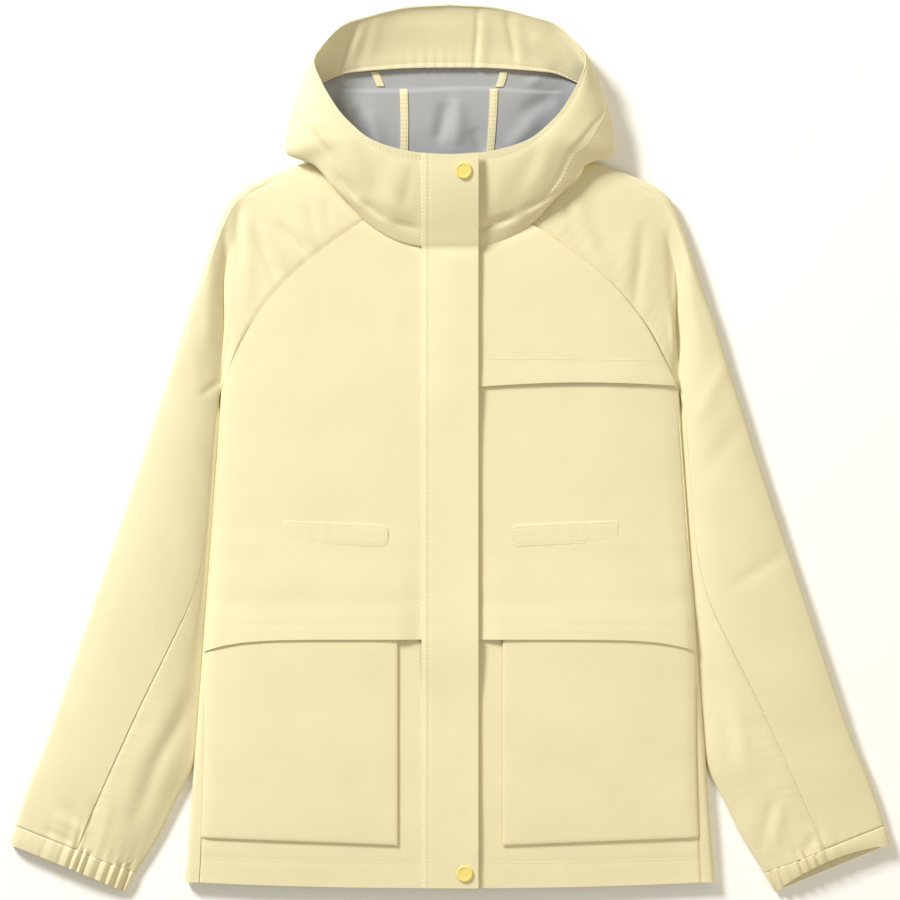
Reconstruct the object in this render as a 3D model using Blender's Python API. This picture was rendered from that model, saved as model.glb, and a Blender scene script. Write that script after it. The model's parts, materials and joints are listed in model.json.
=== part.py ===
"""Hooded softshell jacket, laid on its back with the front up, at its real size.

Run it with: blender --background --python part.py
X points to the wearer's left, Y towards the hood and Z up from the surface it lies on.
Tables and sizes are in millimetres, and MM turns them into metres where a mesh is made.
Sides are the wearer's: RIGHT is -X and LEFT is +X. Tables give distances out from the
centre line, so one table serves both sides.
"""

import math

import bmesh
import bpy
import numpy as np

MM = 0.001
RIGHT, LEFT = -1, 1
SIDE_NAMES = {RIGHT: "right", LEFT: "left"}

# Driving sizes of the jacket
FRONT_LENGTH = 680.0  # neck seam to hem, along the centre front
NECK_Y = 215.0
HEM_Y = NECK_Y - FRONT_LENGTH
UNDERARM_Y = 66.0
BACK_NECK_Y = 291.0
HALF_CHEST = 243.0
HALF_HEM = 282.0
FLARE_POWER = 1.05
SHOULDER_SET_IN = 5.0  # how much narrower the body's fold is above the underarm
STORM_FLAP_HALF = 30.2
POCKET_INNER = 55.7
SNAP_WIDTH = 18.0

# Cloth
WALL = 1.8
SEAM_GAP = 0.4
LAYER_GAP = 0.4
LAYER = WALL + LAYER_GAP
SIDE_FOLD = 6.0  # radius of the body's fold at each side
BODY_RISE = 35.0  # length over which the body rises from its side fold
SLEEVE_CLEARANCE = 1.2
SLEEVE_FOLD_IN = 4.5
SLEEVE_RISE_IN = 28.0
SLEEVE_RISE_OUT = 22.0
CREASE_HEIGHT = 8.5  # bottom of the crease between body and sleeve
CREASE_FADE_Y = 255.0
CREASE_FADE_LENGTH = 70.0
LEFT_SEAM_DROP = 6.0  # the wearer's left raglan seam lies this much lower

# Colours (linear) and roughness
CLOTH = (0.86, 0.75, 0.44, 1.0)
CLOTH_SHADE = (0.80, 0.69, 0.39, 1.0)
LINING_GREY = (0.50, 0.50, 0.50, 1.0)
SNAP_YELLOW = (0.90, 0.74, 0.22, 1.0)

# Height of the body's top cloth along the centre, from hem to neck: y, height
BODY_CROWN = ((-465, 12.6), (-440, 14.0), (-400, 16.0), (-300, 17.6), (-200, 18.2), (-100, 18.6),
              (0, 19.2), (100, 20.2), (215, 20.8), (245, 21.0))

# Front sections below the underarm:
# name, y at the side seam, y at the centre, bend of the line, width of the back's side strip
FRONT_ROWS = (
    ("hem", -459.0, -465.0, 2.0, 17.0),
    ("hem_stitch", -433.0, -438.5, 2.0, 16.0),
    ("pocket_foot", -411.0, -420.0, 1.0, 15.0),
    ("pocket_low", -372.0, -376.0, 1.0, 14.0),
    ("pocket_middle", -320.0, -320.0, 1.0, 12.0),
    ("pocket_high", -264.0, -262.0, 1.0, 9.0),
    ("overlay_edge", -214.0, -201.0, 7.0, 7.5),
    ("pocket_top", -201.0, -192.0, 7.0, 7.5),
    ("tuck", -186.0, -182.0, 1.0, 7.5),
    ("above_tuck", -155.0, -155.0, 1.0, 7.5),
    ("waist_low", -105.0, -105.0, 1.0, 7.0),
    ("waist_high", -78.0, -78.0, 1.0, 7.0),
    ("rib_low", -25.0, -25.0, 1.0, 6.5),
    ("rib_high", 24.0, 24.0, 1.0, 6.5),
)

# Raglan sections from the underarm to the neck: name, front seam out and y, shoulder fold out
# and y, back seam out and y, y of the front's section line at the centre, share of the way to
# the shoulder fold where the body's crease lies
RAGLAN_ROWS = (
    ("underarm", 236.5, 66.0, 285.7, 123.0, 236.5, 72.0, 67.0, 0.14),
    ("chest_low", 226.0, 104.0, 268.7, 172.8, 224.0, 112.0, 100.0, 0.36),
    ("chest", 207.0, 140.0, 252.9, 221.0, 204.0, 150.0, 130.0, 0.72),
    ("chest_high", 182.0, 172.0, 241.0, 252.0, 178.0, 186.0, 152.0, 0.75),
    ("tip", 166.0, 188.5, 233.0, 267.5, 164.0, 203.0, 164.0, 0.70),
    ("shoulder", 150.0, 202.0, 222.0, 277.0, 150.0, 218.0, 176.0, 0.70),
    ("collarbone", 118.2, 226.0, 188.2, 293.6, 120.0, 250.0, 194.0, 0.70),
    ("by_neck", 104.0, 235.5, 165.0, 299.0, 104.0, 274.0, 203.0, 0.70),
    ("neck", 91.7, 242.7, 132.0, 290.0, 92.0, 290.6, NECK_Y, 0.70),
)
NECK_BEND = 1.55
CHEST_FLAP_ARCH = 4.0

# Sleeve sections below the underarm: name, out and y of the inner fold (None lies along the
# body), out and y of the outer fold, share of the width where the top seam runs, crown height
ARM_ROWS = (
    ("armpit", None, 56.0, 294.7, 93.0, 0.0, 19.0),
    ("arm_1", None, 31.8, 303.7, 65.7, 0.0, 20.0),
    ("arm_2", None, -26.5, 323.8, 2.1, 0.0, 21.0),
    ("arm_3", None, -90.1, 347.2, -68.9, 0.0, 21.5),
    ("arm_4", None, -153.7, 368.4, -131.4, 0.13, 21.5),
    ("arm_5", None, -217.3, 389.6, -195.0, 0.29, 21.0),
    ("arm_6", None, -280.9, 410.8, -258.6, 0.43, 20.5),
    ("arm_7", 274.0, -337.1, 429.8, -312.7, 0.51, 19.5),
    ("arm_8", 292.0, -374.2, 444.7, -348.7, 0.51, 18.5),
    ("arm_9", 310.1, -411.3, 455.3, -377.4, 0.51, 17.5),
    ("cuff_stitch", 333.4, -449.0, 461.6, -398.6, 0.49, 16.5),
    ("cuff_edge", 345.0, -469.6, 468.0, -418.7, 0.50, 15.0),
)
SLEEVE_TOP_SHARES = (0.14, 0.32, 0.52, 0.72, 0.88, 1.0)
CAP_CROWN = 20.5
OUTER_FOLD_TOP = 15.0
CUFF_FOLD_TOP = 12.0

# Gathers of the elastic in each sleeve hem: first and last share of the width, pleats, depth
CUFF_GATHERS = {RIGHT: (0.50, 0.98, 9, 1.3), LEFT: (0.52, 0.98, 8, 1.1)}
CUFF_OPENING = {RIGHT: 1.0, LEFT: 9.0}  # how far the upper edge stands back from the lower one

# Hood outline, from the brim's top round to the chin. Each row gives out, y and height of the
# rim, of the widest point and of the foot, then the share of the width where the side seam runs
# and how far the roll stands above a straight line. A foot of height 0 lies on the ground.
HOOD_ROWS = (
    ("brim_1", (0.0, 472.0, 24.0), (0.0, 470.0, 10.0), (0.0, 461.0, 0.0), 0.80, 0.0),
    ("brim_2", (48.2, 468.5, 25.0), (48.2, 466.5, 10.0), (46.0, 458.0, 0.0), 0.80, 0.0),
    ("brim_3", (86.4, 459.0, 27.0), (87.5, 457.0, 11.0), (83.0, 448.5, 0.0), 0.80, 0.0),
    ("brim_4", (111.8, 450.5, 30.0), (115.0, 446.5, 13.0), (109.7, 438.0, 0.0), 0.80, 0.0),
    ("brim_5", (130.9, 432.5, 33.0), (138.3, 427.5, 15.0), (130.9, 420.0, 0.0), 0.80, 1.0),
    ("corner", (143.6, 411.3, 37.0), (154.2, 403.0, 18.0), (145.7, 397.0, 0.0), 0.80, 3.0),
    ("cheek_1", (136.2, 390.0, 42.0), (161.6, 380.5, 20.0), (153.0, 375.0, 0.0), 0.82, 5.0),
    ("cheek_2", (124.5, 368.9, 46.0), (169.0, 358.3, 22.0), (159.5, 354.0, 0.0), 0.85, 6.0),
    ("cheek_3", (112.9, 353.0, 48.0), (173.3, 335.0, 23.0), (162.7, 331.8, 0.0), 0.62, 7.0),
    ("cheek_4", (101.2, 341.3, 49.0), (173.3, 316.0, 25.0), (158.0, 314.0, 0.0), 0.53, 7.0),
    ("jaw_1", (88.5, 330.7, 50.0), (144.7, 303.2, 30.0), (133.0, 296.0, 20.5), 0.66, 6.0),
    ("jaw_2", (73.7, 323.3, 50.0), (122.4, 277.7, 31.0), (111.8, 267.1, 21.8), 0.82, 5.0),
    ("jaw_3", (56.7, 318.0, 49.5), (92.8, 254.4, 30.0), (88.5, 241.5, 22.0), 0.92, 4.0),
    ("chin_1", (42.0, 314.8, 49.0), (61.0, 238.5, 29.0), (58.0, 223.0, 22.0), 0.80, 4.0),
    ("chin_2", (STORM_FLAP_HALF, 313.2, 48.5), (STORM_FLAP_HALF, 231.5, 28.0),
     (STORM_FLAP_HALF, 216.0, 22.0), 0.80, 3.0),
    ("chin_3", (0.0, 311.6, 48.5), (0.0, 231.0, 28.0), (0.0, 216.0, 22.0), 0.80, 3.0),
)
SIDE_SEAM_ROWS = ("cheek_2", "jaw_3")  # the hood's side seam runs between these rows
UNDERSIDE_FLOOR = (0.55, 0.45)  # share of the way from foot to widest point, in plan and height
UNDERSIDE_NECK = (0.85, 0.18)

# Facing along the brim: out and y of its inner edge for each hood row from the top
FACING_EDGE = ((0.0, 406.0), (41.9, 405.5), (68.4, 404.0), (92.8, 402.0), (112.9, 399.6),
               (130.9, 393.3))
FACING_STEPS = ((0.0, 0.0), (0.35, 0.50), (0.70, 0.85), (1.0, 1.0))  # share inwards, share down
FACING_FLOOR = 9.5
FACING_SEAT = 3.4

# Lining in the hood: y, half width, height of its sides
LINING_ROWS = ((412.0, 116.0, 4.2), (394.0, 133.0, 5.5), (364.0, 156.0, 13.0), (336.0, 164.0, 16.0),
               (316.0, 158.0, 16.0), (297.0, 122.0, 14.0))
LINING_ACROSS = (-1.0, -0.94, -0.85, -0.5, -0.2, 0.2, 0.5, 0.85, 0.94, 1.0)
LINING_FLOOR = 3.7

# Tapes over the lining's seams: name, first out and y, last out and y (out is signed here)
SEAM_TAPES = (
    ("upper_right", -81.0, 400.0, -74.0, 388.0),
    ("lower_right", -49.3, 383.0, -49.3, 308.0),
    ("upper_left", 56.7, 400.0, 52.0, 386.0),
    ("lower_left", 46.5, 383.0, 41.5, 308.0),
)
TAPE_WIDTH = 8.5
TAPE_THICKNESS = 1.0

# Waist channel tabs: ends and edges in mm, the rounded end is the inner one
TAB_INNER = 66.0
TAB_OUTER = 178.0
TAB_MIDDLE_Y = -91.5
TAB_HALF_HEIGHT = 12.5
TAB_RISE = 5.0  # the tab climbs this much towards the side
TAB_THICKNESS = 1.1

# Largest soft folds: from x and y, to x and y, half width, height (negative is a trough)
FOLDS = (
    (-214, 246, -220, 150, 11, 2.0),
    (-196, 262, -206, 190, 9, -1.6),
    (-176, 268, -158, 214, 10, 1.6),
    (212, 240, 222, 150, 11, 1.8),
    (190, 262, 204, 200, 9, -1.6),
    (168, 262, 150, 205, 10, 1.6),
    (-330, -40, -270, -90, 20, -2.0),
    (-372, -190, -300, -215, 18, 1.6),
    (338, -60, 280, -100, 20, -2.0),
    (352, -150, 300, -230, 18, 1.6),
    (-420, -330, -330, -360, 16, -1.8),
    (345, -372, 338, -440, 9, -2.0),
    (-180, 30, -70, 80, 30, 0.8),
    (90, -60, 190, -140, 34, 0.8),
)


def along(table, at):
    """Value of a two-column table at a station, straight between its rows."""
    stations, values = zip(*sorted(table))
    return float(np.interp(at, stations, values))


def eased(share):
    """Share from 0 to 1 with soft ends."""
    share = min(max(share, 0.0), 1.0)
    return share * share * (3 - 2 * share)


def mixed(first, last, share):
    return first + (last - first) * share


def rising(distance, length):
    """Share of the full height reached at a distance from a fold."""
    return 1 - math.exp(-max(distance, 0.0) / length)


def folds_at(x, y):
    """Height that the soft folds add at a point."""
    total = 0.0
    for x0, y0, x1, y1, half_width, height in FOLDS:
        run = np.array((x1 - x0, y1 - y0), float)
        offset = np.array((x - x0, y - y0), float)
        share = min(max(offset @ run / (run @ run), 0.0), 1.0)
        distance = np.linalg.norm(offset - share * run)
        total += height * math.exp(-((distance / half_width) ** 2))
    return total


def body_half_width(y):
    """Distance from the centre line to the body's side fold."""
    down = min(max((UNDERARM_Y - y) / (UNDERARM_Y - HEM_Y), 0.0), 1.0)
    up = min(max((y - UNDERARM_Y) / 120.0, 0.0), 1.0)
    return HALF_CHEST + (HALF_HEM - HALF_CHEST) * down**FLARE_POWER - SHOULDER_SET_IN * up


def body_height(x, y):
    """Height of the body's top cloth, from its side fold to the crown."""
    inside = body_half_width(y) - abs(x) - SIDE_FOLD
    fold_top = 2 * SIDE_FOLD
    return fold_top + (along(BODY_CROWN, y) - fold_top) * rising(inside, BODY_RISE) + folds_at(x, y)


def remove_objects():
    for thing in list(bpy.data.objects):
        bpy.data.objects.remove(thing)


def finish_material(name, colour, roughness=0.75):
    material = bpy.data.materials.new(name)
    material.use_nodes = True
    shader = material.node_tree.nodes["Principled BSDF"]
    shader.inputs["Base Color"].default_value = colour
    shader.inputs["Roughness"].default_value = roughness
    material.diffuse_color = colour
    return material


def add_object(name, mesh, colour, parent, roughness=0.75):
    mesh.materials.append(finish_material(name, colour, roughness))
    thing = bpy.data.objects.new(name, mesh)
    thing.parent = parent
    bpy.context.scene.collection.objects.link(thing)
    return thing


def cloth(name, outer, inner, colour, parent, cells=None):
    """One closed wall between two matching grids of points, over the chosen cells.

    Its border is drawn back square to the seam lines by half the seam gap.
    """
    outer, inner = np.asarray(outer, float), np.asarray(inner, float)
    rows, columns = outer.shape[:2]
    if cells is None:
        cells = [(i, j) for i in range(rows - 1) for j in range(columns - 1)]
    corners_used = set()
    sides = {}
    for i, j in cells:
        corners = [(i, j), (i + 1, j), (i + 1, j + 1), (i, j + 1)]
        middle = sum(outer[corner] for corner in corners) / 4
        corners_used.update(corners)
        for first, last in zip(corners, corners[1:] + corners[:1]):
            if sides.pop((last, first), None) is None:
                sides[first, last] = middle
    inwards = {}
    for (first, last), middle in sides.items():
        edge = outer[last] - outer[first]
        edge = edge / np.linalg.norm(edge)
        inward = middle - outer[first]
        inward = inward - edge * (inward @ edge)
        inward = inward / np.linalg.norm(inward)
        for corner in (first, last):
            inwards.setdefault(corner, []).append(inward)
    shape = bmesh.new()
    layers = []
    for grid in (outer, inner):
        made = {}
        for corner in sorted(corners_used):
            point = grid[corner].copy()
            if corner in inwards:
                one, other = inwards[corner][0], inwards[corner][-1]
                point += (one + other) / max(1 + one @ other, 0.3) * SEAM_GAP / 2
            made[corner] = shape.verts.new(point * MM)
        layers.append(made)
    top, bottom = layers
    for i, j in cells:
        a, b, c, d = (i, j), (i + 1, j), (i + 1, j + 1), (i, j + 1)
        for corners in ((a, b, c), (a, c, d)):
            shape.faces.new([top[corner] for corner in corners])
            shape.faces.new([bottom[corner] for corner in reversed(corners)])
    for first, last in sides:
        shape.faces.new([top[last], top[first], bottom[first], bottom[last]])
    bmesh.ops.recalc_face_normals(shape, faces=shape.faces)
    mesh = bpy.data.meshes.new(name)
    shape.to_mesh(mesh)
    shape.free()
    mesh.shade_smooth()
    mesh.set_sharp_from_angle(angle=math.radians(50))
    return add_object(name, mesh, colour, parent)


def lowered(grid, wall=WALL):
    """Inner side of a nearly level wall: the same points, straight below."""
    return np.asarray(grid, float) - (0.0, 0.0, wall)


# Front of the body


def seam_point(side, row):
    """Out and y of the front raglan seam at a raglan row."""
    return row[1], row[2] - (LEFT_SEAM_DROP if side == LEFT and row[0] != "underarm" else 0.0)


def front_sections(side):
    """For each section of the front: name, side seam out and y, centre y and bend."""
    sections = []
    for name, side_y, centre_y, bend, strip in FRONT_ROWS:
        sections.append((name, body_half_width(side_y) - strip, side_y, centre_y, bend))
    for row in RAGLAN_ROWS:
        out, y = seam_point(side, row)
        sections.append((row[0], out, y, row[7], NECK_BEND if row[0] == "neck" else 1.0))
    return sections


FRONT_NAMES = [row[0] for row in FRONT_ROWS] + [row[0] for row in RAGLAN_ROWS]
SIDE_SHARES = (0.0, 0.05, 0.16, 0.30, 0.46, 0.63, 0.82, 1.0)
POCKET_COLUMN = len(SIDE_SHARES) - 1
FLAP_COLUMN = POCKET_COLUMN + 1
CENTRE_COLUMN = POCKET_COLUMN + 2


def front_plan(side):
    """Points of one half of the front, in plan, by section and column from side to centre."""
    plan = []
    for name, seam_out, seam_y, centre_y, bend in front_sections(side):
        outs = [mixed(seam_out, POCKET_INNER, share) for share in SIDE_SHARES]
        outs += [STORM_FLAP_HALF, 0.0]
        line = []
        for out in outs:
            share = max(out - STORM_FLAP_HALF, 0.0) / (seam_out - STORM_FLAP_HALF)
            arch = CHEST_FLAP_ARCH * math.sin(math.pi * share) if name == "underarm" else 0.0
            line.append((side * out, centre_y + (seam_y - centre_y) * share**bend + arch))
        plan.append(line)
    return np.array(plan)


def lifts_of(value=0.0):
    return np.full((len(FRONT_NAMES), CENTRE_COLUMN + 1), value)


def pocket_lifts():
    """The pocket stands away from the front, and comes down to it at its edges."""
    lifts = lifts_of(LAYER + 2.6)
    foot, top = FRONT_NAMES.index("pocket_foot"), FRONT_NAMES.index("pocket_top")
    for line in (lifts[foot], lifts[top]):
        line[:] = LAYER
    lifts[:, 0] = LAYER
    lifts[:, POCKET_COLUMN] = LAYER
    return lifts


def upper_lifts():
    """The upper front lies on the lower front, and runs out over the pocket's top."""
    lifts = lifts_of()
    edge = FRONT_NAMES.index("overlay_edge")
    over_pocket = slice(1, POCKET_COLUMN)
    lifts[edge] = 2 * LAYER + 0.3
    lifts[edge, over_pocket] = 2 * LAYER + 2.9
    lifts[edge, FLAP_COLUMN:] = LAYER + 0.3
    lifts[edge + 1] = 2 * LAYER + 0.2
    lifts[edge + 1, FLAP_COLUMN:] = LAYER + 0.2
    lifts[edge + 2] = LAYER + 0.2
    lifts[edge + 3] = 0.5
    return lifts


def chest_flap_lifts():
    return lifts_of(LAYER + 0.2)


def front_grid(side, lifts):
    """Outer points of a layer of the front, lifted from the body's top cloth."""
    plan = front_plan(side)
    grid = np.zeros(plan.shape[:2] + (3,))
    for i, line in enumerate(plan):
        for j, (x, y) in enumerate(line):
            grid[i, j] = (x, y, body_height(x, y) + lifts[i, j])
    return grid


def block(grid, first, last, from_column=0, to_column=CENTRE_COLUMN):
    """Part of a front grid between two named sections and two columns."""
    rows = slice(FRONT_NAMES.index(first), FRONT_NAMES.index(last) + 1)
    return grid[rows, from_column:to_column + 1]


def make_fronts(parent):
    for side, side_name in SIDE_NAMES.items():
        base = front_grid(side, lifts_of())
        upper = front_grid(side, upper_lifts())
        pocket = front_grid(side, pocket_lifts())
        pieces = (
            ("front_lower", block(base, "hem", "tuck"), CLOTH),
            ("front_upper", block(upper, "overlay_edge", "neck"), CLOTH),
            ("pocket", block(pocket, "pocket_foot", "pocket_top", 0, POCKET_COLUMN), CLOTH_SHADE),
        )
        for name, grid, colour in pieces:
            cloth(f"{name}_{side_name}", grid, lowered(grid), colour, parent)
    flap = block(front_grid(LEFT, chest_flap_lifts()), "underarm", "neck")
    cloth("chest_flap", flap, lowered(flap), CLOTH, parent)


def make_storm_flap(parent):
    """The flap runs from the hem over the zip and up the chin, fixed on the right side."""
    right, left = front_grid(RIGHT, upper_lifts()), front_grid(LEFT, upper_lifts())
    lines = []
    chest = FRONT_NAMES.index("underarm")
    for i in range(len(FRONT_NAMES)):
        over_chest_flap = LAYER if i >= chest else 0.0
        points = (right[i, FLAP_COLUMN], left[i, CENTRE_COLUMN], left[i, FLAP_COLUMN])
        lifts = (LAYER, LAYER + over_chest_flap + 0.5, LAYER + over_chest_flap + 1.2)
        lines.append([point + (0, 0, lift) for point, lift in zip(points, lifts)])
    shell = hood_grid(RIGHT)[-2:, ::-1]
    other = hood_grid(LEFT)[-2, ::-1]
    for j in range(shell.shape[1]):
        points = (shell[0, j], shell[1, j], other[j])
        lifts = (LAYER, LAYER + 1.4, LAYER + 2.2)
        lines.append([point + (0, 0, lift) for point, lift in zip(points, lifts)])
    grid = np.array(lines)
    cloth("storm_flap", grid, lowered(grid), CLOTH, parent)
    return grid


def make_snap(name, x, y, flap, parent):
    """Press stud cap on the storm flap, turned about the flap's own normal."""
    lines = flap[:, 1:]
    row = int(np.clip(np.searchsorted(flap[:, 1, 1], y), 1, len(flap) - 1))
    low, high = lines[row - 1], lines[row]
    share = (y - low[0, 1]) / (high[0, 1] - low[0, 1])
    across = (x - low[0, 0]) / (low[1, 0] - low[0, 0])
    centre = mixed(mixed(low[0], low[1], across), mixed(high[0], high[1], across), share)
    normal = np.cross(low[1] - low[0], high[0] - low[0])
    normal = normal / np.linalg.norm(normal)
    if normal[2] < 0:
        normal = -normal
    radius = SNAP_WIDTH / 2
    profile = ((0.0, 0.0), (1.0, 0.0), (1.0, 1.2), (0.86, 2.2), (0.70, 2.4), (0.60, 1.9), (0.0, 1.9))
    shape = bmesh.new()
    points = [shape.verts.new((share_out * radius * MM, 0.0, height * MM))
              for share_out, height in profile]
    edges = [shape.edges.new(pair) for pair in zip(points, points[1:])]
    bmesh.ops.spin(shape, geom=points + edges, cent=(0, 0, 0), axis=(0, 0, 1),
                   angle=2 * math.pi, steps=28)
    bmesh.ops.remove_doubles(shape, verts=shape.verts, dist=0.01 * MM)
    bmesh.ops.recalc_face_normals(shape, faces=shape.faces)
    mesh = bpy.data.meshes.new(name)
    shape.to_mesh(mesh)
    shape.free()
    mesh.shade_smooth()
    mesh.set_sharp_from_angle(angle=math.radians(35))
    thing = add_object(name, mesh, SNAP_YELLOW, parent, roughness=0.35)
    thing.location = (centre + normal * 0.5) * MM
    thing.rotation_euler = (math.atan2(-normal[1], normal[2]), math.asin(normal[0]), 0.0)


def make_waist_tab(side, parent):
    """Stitched end of the waist channel, a low plate with one rounded end."""
    lines = []
    lengths = (0.0, 0.02, 0.06, 0.12, 0.35, 0.6, 0.8, 1.0)
    for share in lengths:
        out = mixed(TAB_INNER, TAB_OUTER, share)
        from_end = min((out - TAB_INNER + 0.6) / TAB_HALF_HEIGHT, 1.0)
        half = TAB_HALF_HEIGHT * math.sqrt(1 - (1 - from_end) ** 2)
        middle = TAB_MIDDLE_Y + TAB_RISE * share
        line = []
        for across in (-1.0, 0.0, 1.0):
            x, y = side * out, middle + across * half
            line.append((x, y, body_height(x, y) + LAYER_GAP + 0.1 + TAB_THICKNESS))
        lines.append(line)
    name = f"waist_tab_{SIDE_NAMES[side]}"
    cloth(name, lines, lowered(lines, TAB_THICKNESS), CLOTH, parent)


# Back of the body


def make_back(parent):
    """Flat on the ground, folded up and over at each side as far as the side seam."""
    angles = [math.radians(degrees) for degrees in (0, 45, 90, 135, 180)]
    floor_shares = (-1.0, -0.5, 0.0, 0.5, 1.0)
    outer, inner = [], []
    first_raglan = len(FRONT_ROWS)
    for i, (name, seam_out, seam_y, _, _) in enumerate(front_sections(RIGHT)):
        on_raglan = i >= first_raglan
        if on_raglan:
            row = RAGLAN_ROWS[i - first_raglan]
            y, floor_half = row[6], row[5]
            wrap_y = FRONT_ROWS[-1][1] + 20.0
            wide = body_half_width(wrap_y)
            seam_out = wide - FRONT_ROWS[-1][4]
        else:
            y = wrap_y = seam_y
            wide = body_half_width(y)
            floor_half = wide - SIDE_FOLD
        wrap_outer, wrap_inner = [], []
        for angle in angles[1:]:
            across, up = math.sin(angle), -math.cos(angle)
            centre = (wide - SIDE_FOLD, SIDE_FOLD)
            wrap_outer.append((centre[0] + SIDE_FOLD * across, centre[1] + SIDE_FOLD * up))
            thin = SIDE_FOLD - WALL
            wrap_inner.append((centre[0] + thin * across, centre[1] + thin * up))
        top = body_height(seam_out, wrap_y)
        wrap_outer.append((seam_out, top))
        wrap_inner.append((seam_out, top - WALL))
        floor = [(share * floor_half, y) for share in floor_shares]
        left_outer = [(out, wrap_y, z) for out, z in wrap_outer]
        left_inner = [(out, wrap_y, z) for out, z in wrap_inner]
        outer.append([(-out, at, z) for out, at, z in reversed(left_outer)]
                     + [(x, at, 0.0) for x, at in floor] + left_outer)
        inner.append([(-out, at, z) for out, at, z in reversed(left_inner)]
                     + [(x, at, WALL) for x, at in floor] + left_inner)
    wraps = len(angles)
    columns = len(outer[0])
    cells = []
    for i in range(len(outer) - 1):
        for j in range(columns - 1):
            on_floor = wraps <= j < columns - 1 - wraps
            if on_floor or i < first_raglan:
                cells.append((i, j))
    cloth("back_panel", outer, inner, CLOTH, parent, cells)


# Sleeves


def cap_height(out, y, crown):
    """Height of the raglan cap and upper sleeve, with the crease beside the body's fold."""
    past = out - body_half_width(y)
    fade = eased((CREASE_FADE_Y - y) / CREASE_FADE_LENGTH)
    if past < -SIDE_FOLD:
        return body_height(out, y) - folds_at(out, y)
    body = body_height(body_half_width(y) - SIDE_FOLD, y) - folds_at(out, y)
    crease = mixed(body + 4.0, CREASE_HEIGHT, fade)
    if past < 0:
        return mixed(crease, body, eased(-past / SIDE_FOLD))
    return crease + (max(crown, crease) - crease) * rising(past, SLEEVE_RISE_IN)


class SleeveSection:
    """One cut across a sleeve: a level line from its inner to its outer fold."""

    def __init__(self, side, inner, outer, under, seam, crown, fold_top, on_cap, crease=0.0):
        self.side = side
        self.inner = np.array(inner, float)
        self.outer = np.array(outer, float)
        self.under = np.array(under, float)
        self.width = float(np.linalg.norm(self.outer - self.inner))
        self.run = (self.outer - self.inner) / self.width
        self.on_cap = on_cap
        self.crown = crown
        self.fold_top = fold_top
        self.fold_out = fold_top / 2
        self.start = 0.0 if on_cap else max(seam * self.width, SLEEVE_FOLD_IN + 1.5)
        self.crease = crease * self.width if on_cap else mixed(self.start, self.width, 0.1)

    def plan(self, across):
        return self.inner + self.run * across

    def height(self, across):
        """Height of the top cloth at a distance from the inner end."""
        out, y = self.plan(across)
        if self.on_cap:
            level = cap_height(out, y, self.crown)
        else:
            level = CREASE_HEIGHT + (self.crown - CREASE_HEIGHT) * rising(across, SLEEVE_RISE_IN)
        outer_rise = rising(self.width - self.fold_out - across, SLEEVE_RISE_OUT)
        return self.fold_top + (level - self.fold_top) * outer_rise + folds_at(self.side * out, y)

    def pair(self, across, height, towards):
        """Outer and inner point, the inner one a wall's thickness towards the hollow."""
        points = []
        for shift in ((0.0, 0.0), towards):
            out, y = self.plan(across + shift[0])
            points.append((self.side * out, y, height + shift[1]))
        return points

    def top(self, across):
        return self.pair(across, self.height(across), (0.0, -WALL))

    def floor_at(self, start, share):
        """Point on the ground, from a place on the section line to the under seam."""
        out, y = mixed(self.plan(start), self.under, share)
        return [(self.side * out, y, 0.0), (self.side * out, y, WALL)]

    def outer_fold(self):
        """Round the outer fold, from the top down to the ground."""
        centre = self.width - self.fold_out
        half = self.height(centre) / 2
        return [self.fold_pair(centre, half, self.fold_out, math.radians(angle))
                for angle in (45, 90, 135, 180)]

    def inner_fold(self):
        """Round the inner fold, from the ground up to the top."""
        half = self.height(SLEEVE_FOLD_IN) / 2
        return [self.fold_pair(SLEEVE_FOLD_IN, half, -SLEEVE_FOLD_IN, math.radians(angle))
                for angle in (135, 90, 45, 0)]

    def fold_pair(self, centre, half_height, reach, angle):
        across, up = math.sin(angle), math.cos(angle)
        thin = reach - math.copysign(WALL, reach)
        shift = ((thin - reach) * across, -WALL * up)
        return self.pair(centre + reach * across, half_height * (1 + up), shift)


def sleeve_sections(side):
    """Sections of one sleeve from the neck down to the cuff's edge."""
    sections = []
    for row in reversed(RAGLAN_ROWS):
        _, _, _, outer_out, outer_y, back_out, back_y, _, crease = row
        sections.append(SleeveSection(side, seam_point(side, row), (outer_out, outer_y),
                                      (back_out, back_y), 0.0, CAP_CROWN, OUTER_FOLD_TOP,
                                      True, crease))
    last = len(ARM_ROWS) - 1
    for k, (_, inner_out, inner_y, outer_out, outer_y, seam, crown) in enumerate(ARM_ROWS):
        if inner_out is None:
            inner_out = body_half_width(inner_y) + SLEEVE_CLEARANCE
        inner, outer = np.array((inner_out, inner_y)), np.array((outer_out, outer_y))
        fold_top = mixed(OUTER_FOLD_TOP, CUFF_FOLD_TOP, k / last)
        sections.append(SleeveSection(side, inner, outer, (inner + outer) / 2, seam, crown,
                                      fold_top, False))
    return sections


def sleeve_top_line(section):
    """From the front seam over the top, round the outer fold and back to the under seam."""
    start, crease = section.start, section.crease
    end = section.width - section.fold_out
    places = [mixed(start, crease, share) for share in (0.0, 0.35, 0.7, 1.0)]
    places += [mixed(crease, end, share) for share in SLEEVE_TOP_SHARES]
    pairs = [section.top(place) for place in places]
    pairs += section.outer_fold()
    pairs += [section.floor_at(end, share) for share in (0.35, 0.7, 1.0)]
    return pairs


def sleeve_under_line(section):
    """From the under seam to the inner fold, up round it and over to the top seam."""
    pairs = [section.floor_at(SLEEVE_FOLD_IN, share) for share in (1.0, 0.5)]
    pairs += section.inner_fold()
    pairs += [section.top(mixed(SLEEVE_FOLD_IN, section.start, share)) for share in (0.35, 0.7, 1.0)]
    return pairs


def split_pairs(lines):
    """Separate lines of outer and inner points into two grids."""
    grid = np.array(lines, float)
    return grid[:, :, 0], grid[:, :, 1]


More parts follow.
